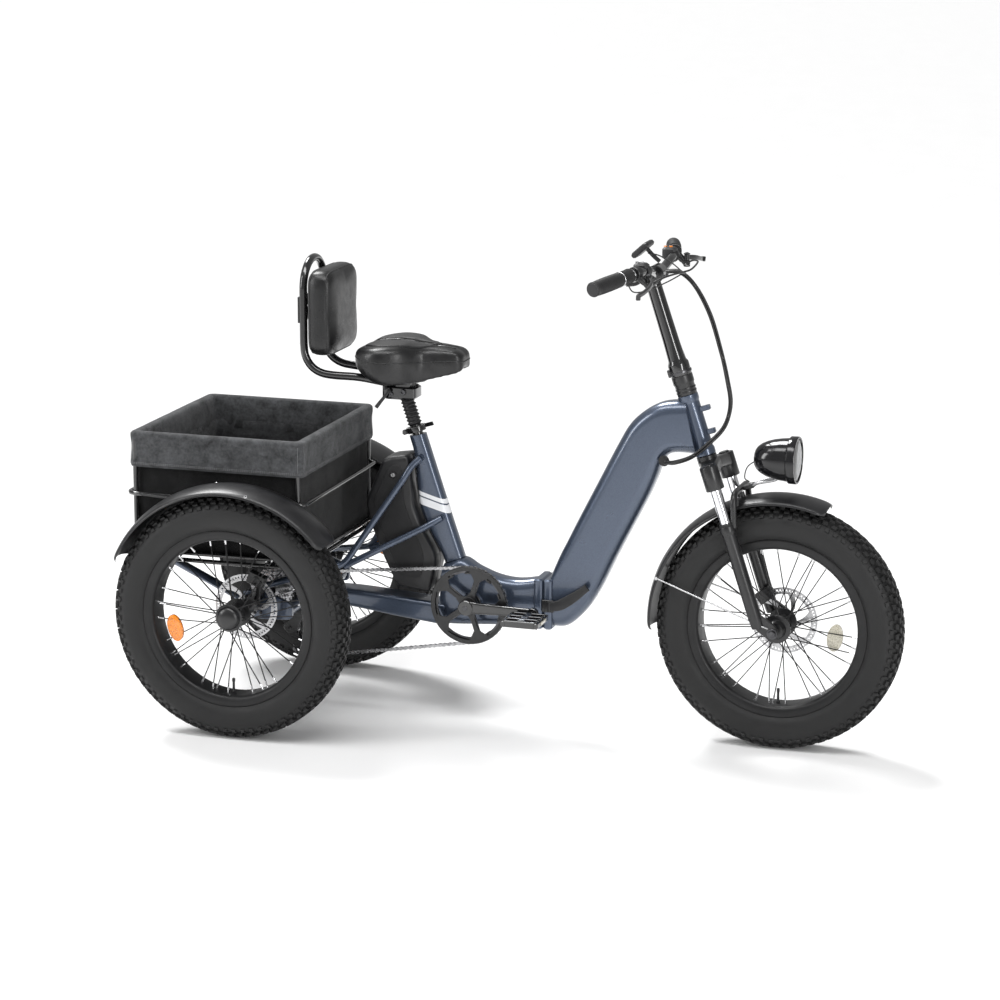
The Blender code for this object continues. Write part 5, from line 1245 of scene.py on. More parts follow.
def add_crankset():
    y = CHAIN_Y
    place = across(CRANK_AXLE)
    ring = toothed(46, pitch_radius(46) + 0.0008, pitch_radius(46) - 0.0040, 0.0800, y - 0.0011,
                   y + 0.0011, place)

    def keep(r, turn):
        if r > 0.0850 or r < 0.0240:
            return True
        if 0.0770 < r < 0.0810:
            return abs((turn * 5 + 0.5) % 1.0 - 0.5) < 0.34
        arm = abs((turn * 5 + 0.5) % 1.0 - 0.5) / 5 * tau * r
        return arm < 0.0050 + 0.0110 * max(0.0, (r - 0.060) / 0.0170) ** 1.5 + 0.006 * max(0.0,
                                                            (0.036 - r) / 0.012)

    guard = polar_plate(0.0136, 0.0958, 24, 200, keep, y - 0.0082, y - 0.0052, place)
    lip = lathe(soft_section([(0.0958, y - 0.0086), (0.0958, y - 0.0048), (0.0900, y - 0.0046),
                              (0.0900, y - 0.0084)], 0.0008), 120, place)
    collar = sleeve(0.0136, 0.0210, y - 0.0100, y + 0.0060, 0.001, 48, place)
    arm_at = Matrix.Translation((0.0500, y - 0.0020, 0))
    arms = []
    for k in range(5):
        arm = block((0.0640, 0.0050, 0.0150), 0.002, Matrix.Rotation(tau * k / 5, 4, "Y") @ arm_at)
        arms.append(moved(arm, Matrix.Translation(CRANK_AXLE)))
    put("chain_guard", merged(guard, lip, collar), "satin_black", "crankset", "chainring",
        angle=30)
    put("ring_teeth", merged(ring, *arms), "dark_steel", "crankset", angle=30)
    for sign, side in ((-1, "right"), (1, "left")):
        eye = pedal_centre(sign)
        inner = Vector((CRANK_AXLE.x, sign * (0.0840 if sign < 0 else 0.0760), CRANK_AXLE.z))
        outer = Vector((eye.x, sign * 0.0960, eye.z))
        rings = []
        for t, wide, high in ((0.0, 0.0072, 0.0150), (0.15, 0.0072, 0.0140), (0.5, 0.0064, 0.0120),
                              (0.97, 0.0060, 0.0108)):
            outline = bar_section(wide, high, 0.0045, 4)
            rings.append([inner.lerp(outer, t) + Vector((0, a, b)) for a, b in outline])
        shapes = [mesh_of(rings), cross_rod(inner, -0.0110, 0.0110, 0.0185, 36, 0.0015),
                  cross_rod(outer, -0.0070, 0.0070, 0.0135, 30, 0.0012)]
        if sign < 0:
            shapes.append(cross_rod(CRANK_AXLE, -0.0800, 0.0640, 0.0125, 24))
        put("arm_" + side, merged(*shapes), "gloss_black", "crankset", "crank_" + side,
            angle=40)
        cap = cross_rod(inner, sign * 0.0108, sign * 0.0122, 0.0060, 28, 0.0006)
        put("arm_cap_" + side, cap, "dark_steel", "crankset")
        add_pedal(side, sign)


def add_pedal(side, sign):
    centre = pedal_centre(sign)
    mid = Vector((centre.x, sign * 0.1620, centre.z))
    shapes = [rod(Vector((centre.x, sign * 0.0900, centre.z)), mid + Vector((0, sign * 0.040, 0)),
                  0.0060, 20, 0.0006)]
    for x in (-0.0405, 0.0405):
        shapes.append(block((0.0110, 0.0900, 0.0130), 0.003,
                            Matrix.Translation((mid.x + x, mid.y, mid.z))))
    for y in (-0.0400, -0.0130, 0.0130, 0.0400):
        shapes.append(block((0.0780, 0.0070, 0.0160), 0.002,
                            Matrix.Translation((mid.x, mid.y + y, mid.z))))
    shapes.append(block((0.0180, 0.0820, 0.0160), 0.004, Matrix.Translation(mid)))
    for x in (-0.040, 0.040):
        for y in (-0.036, -0.012, 0.012, 0.036):
            for z in (-0.0065, 0.0065):
                shapes.append(turned([(0.0022, -0.0026), (0.0022, 0.0024), (0.0014, 0.0034)], 8,
                                     Matrix.Translation((mid.x + x, mid.y + y,
                                                         mid.z + z)) @ Matrix.Rotation(0
                                                            if z > 0 else pi, 4, "X")))
    put("pedal_cage_" + side, merged(*shapes), "gloss_black", "pedal_" + side, "pedal_" + side,
        angle=35)
    marks = [block((0.0024, 0.0440, 0.0070), 0.001, Matrix.Translation((mid.x + x, mid.y, mid.z)))
             for x in (-0.0468, 0.0468)]
    put("pedal_reflectors_" + side, merged(*marks), "clear_reflector", "pedal_" + side)


# ---- battery, seat and backrest ----
# side outline as (x, z)
BATTERY = [(0.2990, 0.6440), (0.3420, 0.6500), (0.3470, 0.6300), (0.3510, 0.5960), (0.3590, 0.5240),
           (0.3830, 0.4620),
           (0.4120, 0.4100), (0.4150, 0.3860), (0.3980, 0.3120), (0.3150, 0.3220), (0.2790, 0.3940),
           (0.2400, 0.4890),
           (0.2340, 0.5300), (0.2800, 0.6370)]
SEAT_UP = Vector((-sin(SEAT_TILT), 0, cos(SEAT_TILT)))
SEAT_SOCKET = Vector((0.3577, 0, 0.6970))


def on_post(height):
    """Point on the seat post's axis, a height above its socket."""
    return SEAT_SOCKET + SEAT_UP * height


def along_post(height):
    return Matrix.Translation(on_post(height)) @ Matrix.Rotation(-SEAT_TILT, 4, "Y")


def add_battery():
    points = filleted([Vector((x, 0, z)) for x, z in BATTERY], 0.012, 5, closed=True)
    middle = sum(points, Vector()) / len(points)
    rings = []
    for inset, y in ((0.0110, -0.0400), (0.0085, -0.0396), (0.0040, -0.0370), (0.0012, -0.0330),
                     (0, -0.0280), (0, -0.0012),
                     (0.0012, -0.0006), (0.0012, 0.0006), (0, 0.0012), (0, 0.0280), (0.0012, 0.0330),
                     (0.0040, 0.0370),
                     (0.0085, 0.0396), (0.0110, 0.0400)):
        rings.append([p + (middle - p).normalized() * inset + Vector((0, y, 0)) for p in points])
    put("battery_case", mesh_of(rings), "battery", "rear_frame", "battery_pack", angle=40)
    details = []
    for y, way in ((-0.0400, -1), (0.0400, 1)):
        panel = [(0.2560, 0.5350), (0.3000, 0.6250), (0.3280, 0.6250), (0.3360, 0.5300),
                 (0.3640, 0.4600), (0.3860, 0.4080),
                 (0.3780, 0.3480), (0.3220, 0.3560), (0.2920, 0.4200)]
        details.append(side_plate(panel, min(y, y + way * 0.0014), max(y, y + way * 0.0014), 0.0008,
                                  0.014))
    put("battery_panels", merged(*details), "battery", "rear_frame")
    lock = across(Vector((0.3080, -0.0414, 0.6000)))
    key = sleeve(0.0052, 0.0090, -0.0030, 0.0016, 0.0006, 36, lock)
    barrel = turned([(0.0050, -0.0022), (0.0050, 0.0010)], 28, lock)
    slit = block((0.0014, 0.0006, 0.0060), 0.0002, Matrix.Translation((0.3080, -0.0438, 0.6000)))
    put("battery_lock", key, "gloss_plastic", "rear_frame")
    put("battery_barrel", barrel, "nipple", "rear_frame")
    put("battery_keyhole", slit, "seam", "rear_frame")


def add_seat_hardware():
    collar = along_post(0.0)
    ring = sleeve(0.0148, 0.0230, 0.0050, 0.0190, 0.0016, 56, collar)
    lug = block((0.0150, 0.0180, 0.0120), 0.003, collar @ Matrix.Translation((-0.0270, 0, 0.0120)))
    rim = sleeve(0.0200, 0.0246, 0.0170, 0.0200, 0.0008, 56, collar)
    pin = rod(collar @ Vector((-0.0270, -0.0140, 0.0120)), collar @ Vector((-0.0270, 0.0130, 0.0120)),
              0.0035, 18, 0.0005)
    nut = rod(collar @ Vector((-0.0270, -0.0150, 0.0120)), collar @ Vector((-0.0270, -0.0100, 0.0120)),
              0.0062, 6, 0.0005)
    put("mast_clamp", merged(ring, lug, rim, pin, nut), "gloss_black", "rear_frame", "seat_clamp")
    cam = turned([(0.0056, 0.0055), (0.0062, 0.0062), (0.0062, 0.0178), (0.0056, 0.0185)], 28,
                 collar @ Matrix.Translation((-0.0270, 0.0200, 0)))
    path = smooth([collar @ Vector(p) for p in ((-0.0270, 0.0200, 0.012), (-0.0080, 0.0290, 0.0120),
                                                (0.0120, 0.0300, 0.0120),
                                                (0.0340, 0.0260, 0.0120))], 4)
    blade = sweep(path, bar_section(0.0030, 0.0048, 0.002))
    put("clamp_blade", merged(cam, blade), "satin_black", "seat_clamp_lever", "seat_clamp_lever")

    post = rod(on_post(-0.150), on_post(0.1000), 0.0128, 40)
    bellows = [(0.0134, 0.0220)]
    for k in range(7):
        height = 0.0280 + k * 0.0090
        bellows += [(0.0142, height - 0.0036), (0.0152, height - 0.0026), (0.0176, height - 0.0008),
                    (0.0180, height),
                    (0.0176, height + 0.0008), (0.0152, height + 0.0026)]
    bellows += [(0.0142, 0.0880), (0.0165, 0.0890), (0.0170, 0.0960), (0.0160, 0.1010)]
    bracket = block((0.0860, 0.0560, 0.0340), 0.012, Matrix.Translation((0.3170, 0, 0.7990)), 5)
    neck = block((0.0400, 0.0480, 0.0200), 0.006, Matrix.Translation((0.3260, 0, 0.8200)), 4)
    rails = []
    for sign in (-1, 1):
        rails.append(tube(smooth([Vector((0.2600, sign * 0.0260, 0.8420)),
                                  Vector((0.2750, sign * 0.0210, 0.8290)),
                                  Vector((0.3400, sign * 0.0200, 0.8300)),
                                  Vector((0.3800, sign * 0.0190, 0.8330)),
                                  Vector((0.3950, sign * 0.0150, 0.8520))], 5), 0.0036, 14))
        rails.append(bolt(Vector((0.3300, sign * 0.0280, 0.8020)), Vector((0, sign, 0)), 0.0075,
                          0.0050))
        rails.append(bolt(Vector((0.3000, sign * 0.0280, 0.7960)), Vector((0, sign, 0)), 0.0050,
                          0.0040))
    put("seat_post", merged(post, bracket, neck), "gloss_black", "seat", "seatpost")
    put("post_bellows", turned(bellows, 48, along_post(0.0)), "plastic", "seat",
        angle=60)
    put("seat_rails", merged(*rails), "dark_steel", "seat")
    start = Vector((0.2960, -0.0330, 0.8040))
    path = smooth([start, start + Vector((-0.006, -0.003, -0.008)),
                   start + Vector((-0.018, -0.007, -0.024)),
                   start + Vector((-0.030, -0.010, -0.040))], 4)
    lever = tube(path, [0.0035] * 4 + [0.0036 + 0.00016 * k for k in range(len(path) - 4)], 16)
    put("height_lever", merged(lever, bolt(start, Vector((0, -1, 0)), 0.0052, 0.0030)), "plastic",
        "saddle_lever", "saddle_lever")


VOXEL = 0.0045
PUFF_FRAMES = 20


def puffed(mesh, pressure, cap, held):
    """Cloth-inflated copy of a closed shape; points that held() picks stay, and cap limits the rest."""
    piece = added("puff", mesh)
    step = piece.modifiers.new("remesh", "REMESH")
    step.mode, step.voxel_size, step.use_smooth_shade = "VOXEL", VOXEL, True
    apply_all(piece)
    before = [v.co.copy() for v in piece.data.vertices]
    group = piece.vertex_groups.new(name="held")
    group.add([v.index for v in piece.data.vertices if held(v.co)], 1.0, "REPLACE")
    cloth = piece.modifiers.new("cloth", "CLOTH")
    settings = cloth.settings
    settings.quality = 6
    settings.mass = 0.3
    settings.tension_stiffness = settings.compression_stiffness = 15.0
    settings.shear_stiffness = 7.5
    settings.bending_stiffness = 1.2
    settings.use_pressure = True
    settings.uniform_pressure_force = pressure
    settings.effector_weights.gravity = 0.0
    settings.vertex_group_mass = "held"
    cloth.point_cache.frame_start, cloth.point_cache.frame_end = 1, PUFF_FRAMES
    for number in range(1, PUFF_FRAMES + 1):
        bpy.context.scene.frame_set(number)
    apply_all(piece)
    bpy.context.scene.frame_set(1)
    for vertex, start in zip(piece.data.vertices, before):
        shift = vertex.co - start
        if shift.length > cap:
            vertex.co = start + shift.normalized() * cap
    mesh = piece.data.copy()
    bpy.data.objects.remove(piece, do_unlink=True)
    return relaxed(mesh, 10)


def apply_all(piece):
    """Replaces a piece's mesh with what its modifiers make of it."""
    graph = bpy.context.evaluated_depsgraph_get()
    mesh = bpy.data.meshes.new_from_object(piece.evaluated_get(graph))
    piece.modifiers.clear()
    piece.data = mesh


def relaxed(mesh, times):
    """The mesh with its points evened out a number of times."""
    build = bmesh.new()
    build.from_mesh(mesh)
    for _ in range(times):
        bmesh.ops.smooth_vert(build, verts=build.verts, factor=0.5, use_axis_x=True, use_axis_y=True,
                              use_axis_z=True)
    build.to_mesh(mesh)
    build.free()
    return mesh


def surface_of(mesh):
    build = bmesh.new()
    build.from_mesh(mesh)
    tree = BVHTree.FromBMesh(build)
    build.free()
    return tree


def laid_on(tree, points, lift):
    """The points dropped straight down onto a surface, then lifted off it."""
    down = Vector((0, 0, -1))
    found = []
    for point in points:
        hit, normal, _, _ = tree.ray_cast(point - down * 0.2, down)
        if hit is None:
            hit, normal, _, _ = tree.find_nearest(point)
        found.append(hit + normal * lift)
    return found


def clung_loop(tree, points, lift=0.0004):
    """The points moved to the nearest place just off a surface, and evened out."""
    near = []
    for point in points:
        hit, normal, _, _ = tree.find_nearest(point)
        near.append(hit + normal * lift)
    return relaxed_loop(near)


# (x, half width, underside height, top height) from the tail to the nose
SADDLE = [(0.2250, 0.060, 0.880, 0.905), (0.2330, 0.098, 0.868, 0.913), (0.2600, 0.122, 0.848, 0.920),
          (0.3000, 0.131, 0.834, 0.925), (0.3450, 0.110, 0.830, 0.925), (0.3750, 0.076, 0.831, 0.920),
          (0.4000, 0.060, 0.838, 0.916), (0.4400, 0.049, 0.848, 0.913), (0.4700, 0.042, 0.855, 0.909),
          (0.4820, 0.030, 0.860, 0.900)]


def panel_half(u, wide, tail):
    """Width of a top panel at share u of the way from the saddle's tail to its nose."""
    return wide * sin(pi * min(1.0, u * 1.15 + 0.12)) ** 0.8 * (1 - 0.62 * u) + tail * (1 - u)


def add_saddle():
    curves = [smooth([Vector((station[0], station[k], 0)) for station in SADDLE], 5) for k in (1, 2, 3)]
    shape = [(1.00, 0.52), (0.998, 0.70), (0.975, 0.86), (0.90, 0.955), (0.76, 0.99), (0.46, 1.00),
             (0.20, 0.985), (0.0, 0.97)]
    under = [(0.990, 0.26), (0.955, 0.08), (0.88, -0.02), (0.78, -0.02), (0.70, 0.12), (0.45, 0.20),
             (0.0, 0.22)]
    rings = []
    for half, low, high in zip(*curves):
        rise = high.y - low.y
        ring = shape + [(-a, b) for a, b in shape[-2::-1]] + [(-a, b) for a, b in under] + under[-2::-1]
        rings.append([Vector((half.x, half.y * a * 0.985, low.y + rise * (b * 0.985 + 0.008))) for a,
                      b in ring])
    mesh = puffed(mesh_of(rings), 1.2, 0.0035, lambda co: co.z < 0.850)
    groove_into(mesh)
    tree = surface_of(mesh)
    pad = put("saddle_pad", mesh, "vinyl", "seat", "saddle", angle=80, subdivide=1)
    tops = []
    for sign in (-1, 1):
        outline = []
        for t in range(41):
            u = t / 40
            x = 0.2480 + 0.2130 * u
            half = panel_half(u, 0.094, 0.012)
            outline.append(Vector((x, sign * (0.0130 + half), 1.0)))
        outline += [Vector((0.4610 - 0.2130 * k / 30, sign * 0.0120 * (1 - 0.25 * k / 30), 1.0))
                    for k in range(31)]
        loop = laid_on(tree, spaced(outline, 0.004, closed=True), 0.0004)
        tops.append(tube(relaxed_loop(loop), 0.0011, 8, closed=True))
    put("saddle_seams", merged(*tops), "seam", "seat", angle=80)
    edge = []
    for half, low, high in zip(*curves):
        edge.append((half.x, half.y, low.y + (high.y - low.y) * 0.60))
    loop = [Vector((x, y * 1.02, z)) for x, y, z in edge] + [Vector((x, -y * 1.02, z)) for x, y,
                                                            z in reversed(edge)]
    near = clung_loop(tree, spaced(loop, 0.005, closed=True))
    put("saddle_edge_seam", tube(near, 0.0013, 8, closed=True), "seam", "seat", angle=80)
    add_saddle_top(tree)


def add_saddle_top(tree):
    """Grained top panels laid just over the pad, one each side of the centre channel."""
    panels = []
    for sign in (-1, 1):
        rows = []
        for t in range(31):
            u = t / 30
            x = 0.2500 + 0.2080 * u
            half = panel_half(u, 0.092, 0.010)
            row = [Vector((x, sign * (0.0145 + (half - 0.002) * k / 12), 1.0)) for k in range(13)]
            rows.append(laid_on(tree, row, 0.0007))
        panels.append(mesh_of(rows, capped=False, wrapped=False))
    top = put("saddle_top", merged(*panels), "vinyl_top", "seat", angle=80)
    step = top.modifiers.new("thick", "SOLIDIFY")
    step.thickness, step.offset = 0.0009, 0.0


def relaxed_loop(points):
    count = len(points)
    for _ in range(3):
        points = [(points[i - 1] + points[i] * 2 + points[(i + 1) % count]) / 4 for i in range(count)]
    return points


def groove_into(mesh):
    """Centre channel down the saddle's top, widening to an oval dip, and a dip in its tail."""
    for vertex in mesh.vertices:
        x, y, z = vertex.co
        if z < 0.880:
            continue
        channel = max(0.0, 1 - (abs(y) / 0.0125) ** 2)
        along = min(1.0, max(0.0, (x - 0.235) / 0.03)) * min(1.0, max(0.0, (0.445 - x) / 0.05))
        oval = max(0.0, 1 - ((x - 0.355) / 0.055) ** 2 - (y / 0.017) ** 2)
        vertex.co.z -= 0.0060 * channel * along + 0.0080 * oval ** 0.5


CUSHION_Z = 0.9915


def add_backrest():
    y, x = 0.0700, 0.0925
    arch = [Vector((x, -y * cos(pi * k / 24), 1.0430 + y * sin(pi * k / 24))) for k in range(25)]
    arms = []
    for sign in (-1, 1):
        arms.append(smooth([Vector((x, sign * y, 0.9150)), Vector((0.0960, sign * y, 0.8860)),
                            Vector((0.1110, sign * y, 0.8610)),
                            Vector((0.1360, sign * y, 0.8460)), Vector((0.1700, sign * 0.0680, 0.8410)),
                            Vector((0.2300, sign * 0.0580, 0.8380)),
                            Vector((0.2920, sign * 0.0340, 0.8240))], 5))
    hoop = tube(arms[0][::-1] + arch + arms[1], 0.0096, 24)
    put("backrest_hoop", hoop, "gloss_black", "seat", "backrest_frame", angle=60)
    plate = block((0.0060, 0.1480, 0.0630), 0.002, Matrix.Translation((0.0815, 0, 0.9955)))
    heads = [bolt(Vector((0.0785, s * 0.045, 0.9955 + dz)), Vector((-1, 0, 0)), 0.0048, 0.0030)
             for s in (-1, 1) for dz in (-0.018, 0.018)]
    spacer = [rod(Vector((0.0840, s * 0.045, 0.9955)), Vector((0.1180, s * 0.045, 0.9955)), 0.0100, 24)
              for s in (-1, 1)]
    bolts = [rod(Vector((0.2860, s * 0.0355, 0.8080)), Vector((0.2860, s * 0.0355, 0.8290)), 0.0060, 6,
                 0.0008) for s in (-1, 1)]
    put("backrest_plate", merged(plate, *heads, *spacer, *bolts), "satin_black", "seat")
    rings = []
    for px, half_y, half_z, corner in ((0.1095, 0.080, 0.080, 0.026), (0.1110, 0.092, 0.092, 0.030),
                                       (0.1160, 0.0990, 0.0990, 0.034),
                                       (0.1260, 0.1030, 0.1030, 0.036), (0.1400, 0.1040, 0.1040, 0.038),
                                       (0.1550, 0.1030, 0.1030, 0.038), (0.1650, 0.0990, 0.0990, 0.036),
                                       (0.1710, 0.0920, 0.0920, 0.032),
                                       (0.1738, 0.0820, 0.0820, 0.028)):
        corners = [Vector((px, sy * half_y, CUSHION_Z + sz * half_z)) for sy, sz in CORNERS]
        rings.append(filleted(corners, corner, 5, closed=True))
    mesh = puffed(mesh_of(rings), 0.9, 0.0030, lambda co: co.x < 0.1200)
    tree = surface_of(mesh)
    pad = put("backrest_pad", mesh, "vinyl", "seat", "backrest_cushion", angle=80, subdivide=1)
    seams = []
    for px, half in ((0.1640, 0.1030), (0.1180, 0.1020)):
        corners = [Vector((px, sy * half, CUSHION_Z + sz * half)) for sy, sz in CORNERS]
        loop = clung_loop(tree, spaced(filleted(corners, 0.030, 8, closed=True), 0.005, closed=True),
                          0.0003)
        seams.append(tube(loop, 0.0012, 8, closed=True))
    put("backrest_seams", merged(*seams), "seam", "seat", angle=80)


# ---- front frame ----
# (top, bottom) of each cross-section as (x, z), from the fold plate up to the head tube
MAIN_TUBE = [((0.6980, 0.3710), (0.6980, 0.2490)), ((0.7105, 0.4025), (0.7430, 0.2545)),
             ((0.7230, 0.4315), (0.7870, 0.2950)), ((0.7395, 0.4645), (0.8225, 0.3510)),
             ((0.7650, 0.5170), (0.8620, 0.4350)), ((0.8140, 0.6140), (0.9140, 0.5390)),
             ((0.8380, 0.6620), (0.9400, 0.5920)), ((0.8615, 0.7080), (0.9580, 0.6350)),
             ((0.8865, 0.7525), (0.9660, 0.6585)), ((0.9125, 0.7815), (0.9755, 0.6785)),
             ((0.9465, 0.8055), (0.9885, 0.6925)), ((0.9800, 0.8175), (1.0120, 0.6970)),
             ((1.0260, 0.8220), (1.0560, 0.6960))]


def add_front_frame():
    put("main_beam", loft_stations(MAIN_TUBE, 0.0370, 0.0300, 64, 5), "slate", "front_frame",
        "main_tube", angle=60)
    head = turned([(0.0180, -0.0740), (0.0236, -0.0738), (0.0245, -0.0730), (0.0245, -0.0610),
                   (0.0240, -0.0596), (0.0226, -0.0560),
                   (0.0225, -0.0540), (0.0225, 0.0540), (0.0226, 0.0560), (0.0240, 0.0596),
                   (0.0245, 0.0610), (0.0245, 0.0730),
                   (0.0236, 0.0738), (0.0180, 0.0740)], 56, STEER)
    plate = block((0.0230, 0.0880, 0.1240), 0.008, Matrix.Translation((FOLD_X + 0.0120, 0, 0.3080)))
    knuckle = upright_rod(Vector((FOLD_PIVOT.x, FOLD_PIVOT.y, 0)), 0.2730, 0.3430, 0.0085, 28, 0.001)
    link = block((0.0160, 0.0150, 0.0680), 0.003, Matrix.Translation((FOLD_X + 0.0095, 0.0450, 0.3080)))
    put("fold_plate_front", merged(plate, knuckle, link), "slate", "front_frame")
    bosses = [block((length, 0.016, 0.012), 0.003, STEER @ Matrix.Translation((0.0300, 0, z))) for z,
              length in ((0.0330, 0.028), (-0.0230, 0.020))]
    put("head_tube", merged(head, *bosses), "slate", "front_frame")
    seal = turned([(0.0130, -0.0008), (0.0130, 0.0010), (0.0090, 0.0026), (0.0070, 0.0026)], 28,
                  Matrix.Translation((0.9800, -0.0372, 0.6800)) @ Matrix.Rotation(pi / 2, 4, "X"))
    put("cable_grommet", seal, "grip", "front_frame")
    pivot = Vector((0.7060, -0.0500, 0.3060))
    boss = upright_rod(pivot, -0.012, 0.012, 0.0050, 24, 0.0006)
    path = smooth([pivot, pivot + Vector((0.028, -0.003, 0.008)),
                   pivot + Vector((0.062, -0.004, 0.030)), pivot + Vector((0.094, -0.003, 0.056))], 6)
    rings = []
    count = len(path)
    for i, (point, side, up) in enumerate(frames_along(path)):
        wide = 0.0130 * (0.72 + 0.28 * sin(pi * min(1.0, 0.15 + i / count)))
        outline = bar_section(0.0042, wide, 0.0032)
        rings.append([point + side * a + up * b for a, b in outline])
    put("fold_lever", merged(boss, mesh_of(rings)), "plastic", "fold_latch", "fold_latch")
    keeper = block((0.030, 0.0080, 0.030), 0.003, Matrix.Translation((0.7000, -0.0440, 0.3060)))
    put("fold_keeper", keeper, "satin_black", "front_frame")


# ---- fork, lights and front fender ----
def add_fork():
    base = turned([(0.0180, 0.0748), (0.0232, 0.0750), (0.0235, 0.0756), (0.0235, 0.0995),
                   (0.0252, 0.1030), (0.0255, 0.1045),
                   (0.0255, 0.1208), (0.0248, 0.1215), (0.0100, 0.1215)], 56, STEER)
    rings = [sleeve(0.0200, 0.0246, z, z + 0.0040, 0.0008, 48, STEER) for z in (0.0800, 0.0880)]
    cup = turned([(0.0240, -0.0960), (0.0240, -0.0760), (0.0225, -0.0748)], 48, STEER)
    yoke = []
    for sign in (-1, 1):
        sections = []
        for t in (0.0, 0.25, 0.5, 0.75, 1.0):
            y = sign * LEG_Y * t
            front, rear = 0.030 + 0.008 * t, -0.024 + 0.026 * t
            top, bottom = -0.0850 - 0.0100 * t * t, -0.1130 - 0.0110 * t
            outline = soft_section([(rear, bottom), (front, bottom), (front, top), (rear, top)], 0.008,
                                   4)
            sections.append([STEER @ Vector((a, y, b)) for a, b in outline])
        yoke.append(mesh_of(sections))
        yoke.append(turned([(0.0145, -0.1490), (0.0214, -0.1486), (0.0220, -0.1476), (0.0220, -0.0935),
                            (0.0210, -0.0912), (0.0150, -0.0905)],
                           44, STEER @ Matrix.Translation((LEG_AHEAD, sign * LEG_Y, 0))))
        yoke.append(turned([(0.0125, -0.0925), (0.0125, -0.0885), (0.0110, -0.0872), (0.0060, -0.0872)],
                           32,
                           STEER @ Matrix.Translation((LEG_AHEAD, sign * LEG_Y, 0))))
    put("fork_yoke", merged(base, cup, *rings, *yoke), "satin_black", "steering", "fork_crown")
    for side, sign in (("right", -1), ("left", 1)):
        low, high = (STEER @ Vector((LEG_AHEAD, sign * LEG_Y, z)) for z in (-0.3500, -0.0965))
        put("fork_tube_" + side, rod(low, high, 0.0135, 48), "chrome", "steering", "stanchion_" + side)
    shapes = []
    for sign in (-1, 1):
        y = sign * LEG_Y
        shapes.append(turned([(0.0100, -0.4905), (0.0140, -0.4895), (0.0150, -0.4870),
                              (0.0165, -0.4600), (0.0163, -0.3600), (0.0165, -0.2600),
                              (0.0168, -0.2560), (0.0188, -0.2535), (0.0190, -0.2520),
                              (0.0190, -0.2400), (0.0180, -0.2378), (0.0145, -0.2370)],
                             44, STEER @ Matrix.Translation((LEG_AHEAD, y, 0))))
        drop = [Vector((x, 0, z)) for x, z in ((0.012, -0.4600), (0.032, -0.4600), (0.062, -0.4980),
                                               (0.060, -0.5240), (0.038, -0.5240), (0.014, -0.4920))]
        drop = filleted(drop, 0.008, 4, closed=True)
        shapes.append(moved(mesh_of([[p + Vector((0, y - sign * 0.0010 + d, 0)) for p in drop]
                                     for d in (-0.0055, 0.0055)]), STEER))
    corners = [Vector((0.0360, -LEG_Y, -0.2460)), Vector((ARCH_X, -LEG_Y * 0.98, -0.1720)),
               Vector((ARCH_X, LEG_Y * 0.98, -0.1720)),
               Vector((0.0360, LEG_Y, -0.2460))]
    shapes.append(moved(tube(filleted(corners, 0.030, 8), 0.0075, 20), STEER))
    put("fork_legs", merged(*shapes), "satin_black", "fork_lowers", "fork_lowers")
    seals = [turned([(0.0142, -0.2385), (0.0172, -0.2380), (0.0172, -0.2330), (0.0155, -0.2310),
                     (0.0140, -0.2310)], 44,
                    STEER @ Matrix.Translation((LEG_AHEAD, s * LEG_Y, 0))) for s in (-1, 1)]
    put("fork_seals", merged(*seals), "grip", "fork_lowers")
    nuts = []
    for sign in (-1, 1):
        out = FRONT_AXLE + Vector((0, sign * 0.0835, 0))
        nuts.append(cross_rod(out, 0, sign * 0.0090, 0.0095, 6, 0.0008))
        nuts.append(cross_rod(out, -sign * 0.0010, sign * 0.0020, 0.0125, 28, 0.0004))
    put("axle_nuts", merged(*nuts), "dark_steel", "fork_lowers")
    add_caliper("front", FRONT_AXLE, 128, 0.075, 0.0480, "fork_lowers")


def add_front_fender():
    blade = fender_mesh(FRONT_AXLE, FENDER_R - 0.0030, 0.0570, 69, 185)
    post = rod(STEER @ Vector((ARCH_X, 0, -0.2010)), STEER @ Vector((ARCH_X, 0, -0.1810)), 0.0060, 20)
    put("mudguard_front", merged(blade, post), "fender", "fork_lowers", "fender_front",
        angle=42)
    wires = []
    for sign in (-1, 1):
        a = radians(160)
        high = FRONT_AXLE + Vector(((FENDER_R - 0.0160) * cos(a), sign * 0.0560,
                                    (FENDER_R - 0.0160) * sin(a)))
        low = FRONT_AXLE + Vector((-0.0100, sign * 0.0830, 0.0120))
        bend = low.lerp(high, 0.10) + Vector((0, sign * 0.004, 0))
        wires.append(tube(smooth([low, bend, low.lerp(high, 0.5) + Vector((0, sign * 0.002, 0)), high],
                                 6), 0.0020, 12))
        wires.append(bolt(high, Vector((0, sign, 0)), 0.0042, 0.0030))
    put("mudguard_wires", merged(*wires), "nipple", "fork_lowers")


HEADLIGHT_MID = Vector((1.2935, 0, 0.6945))


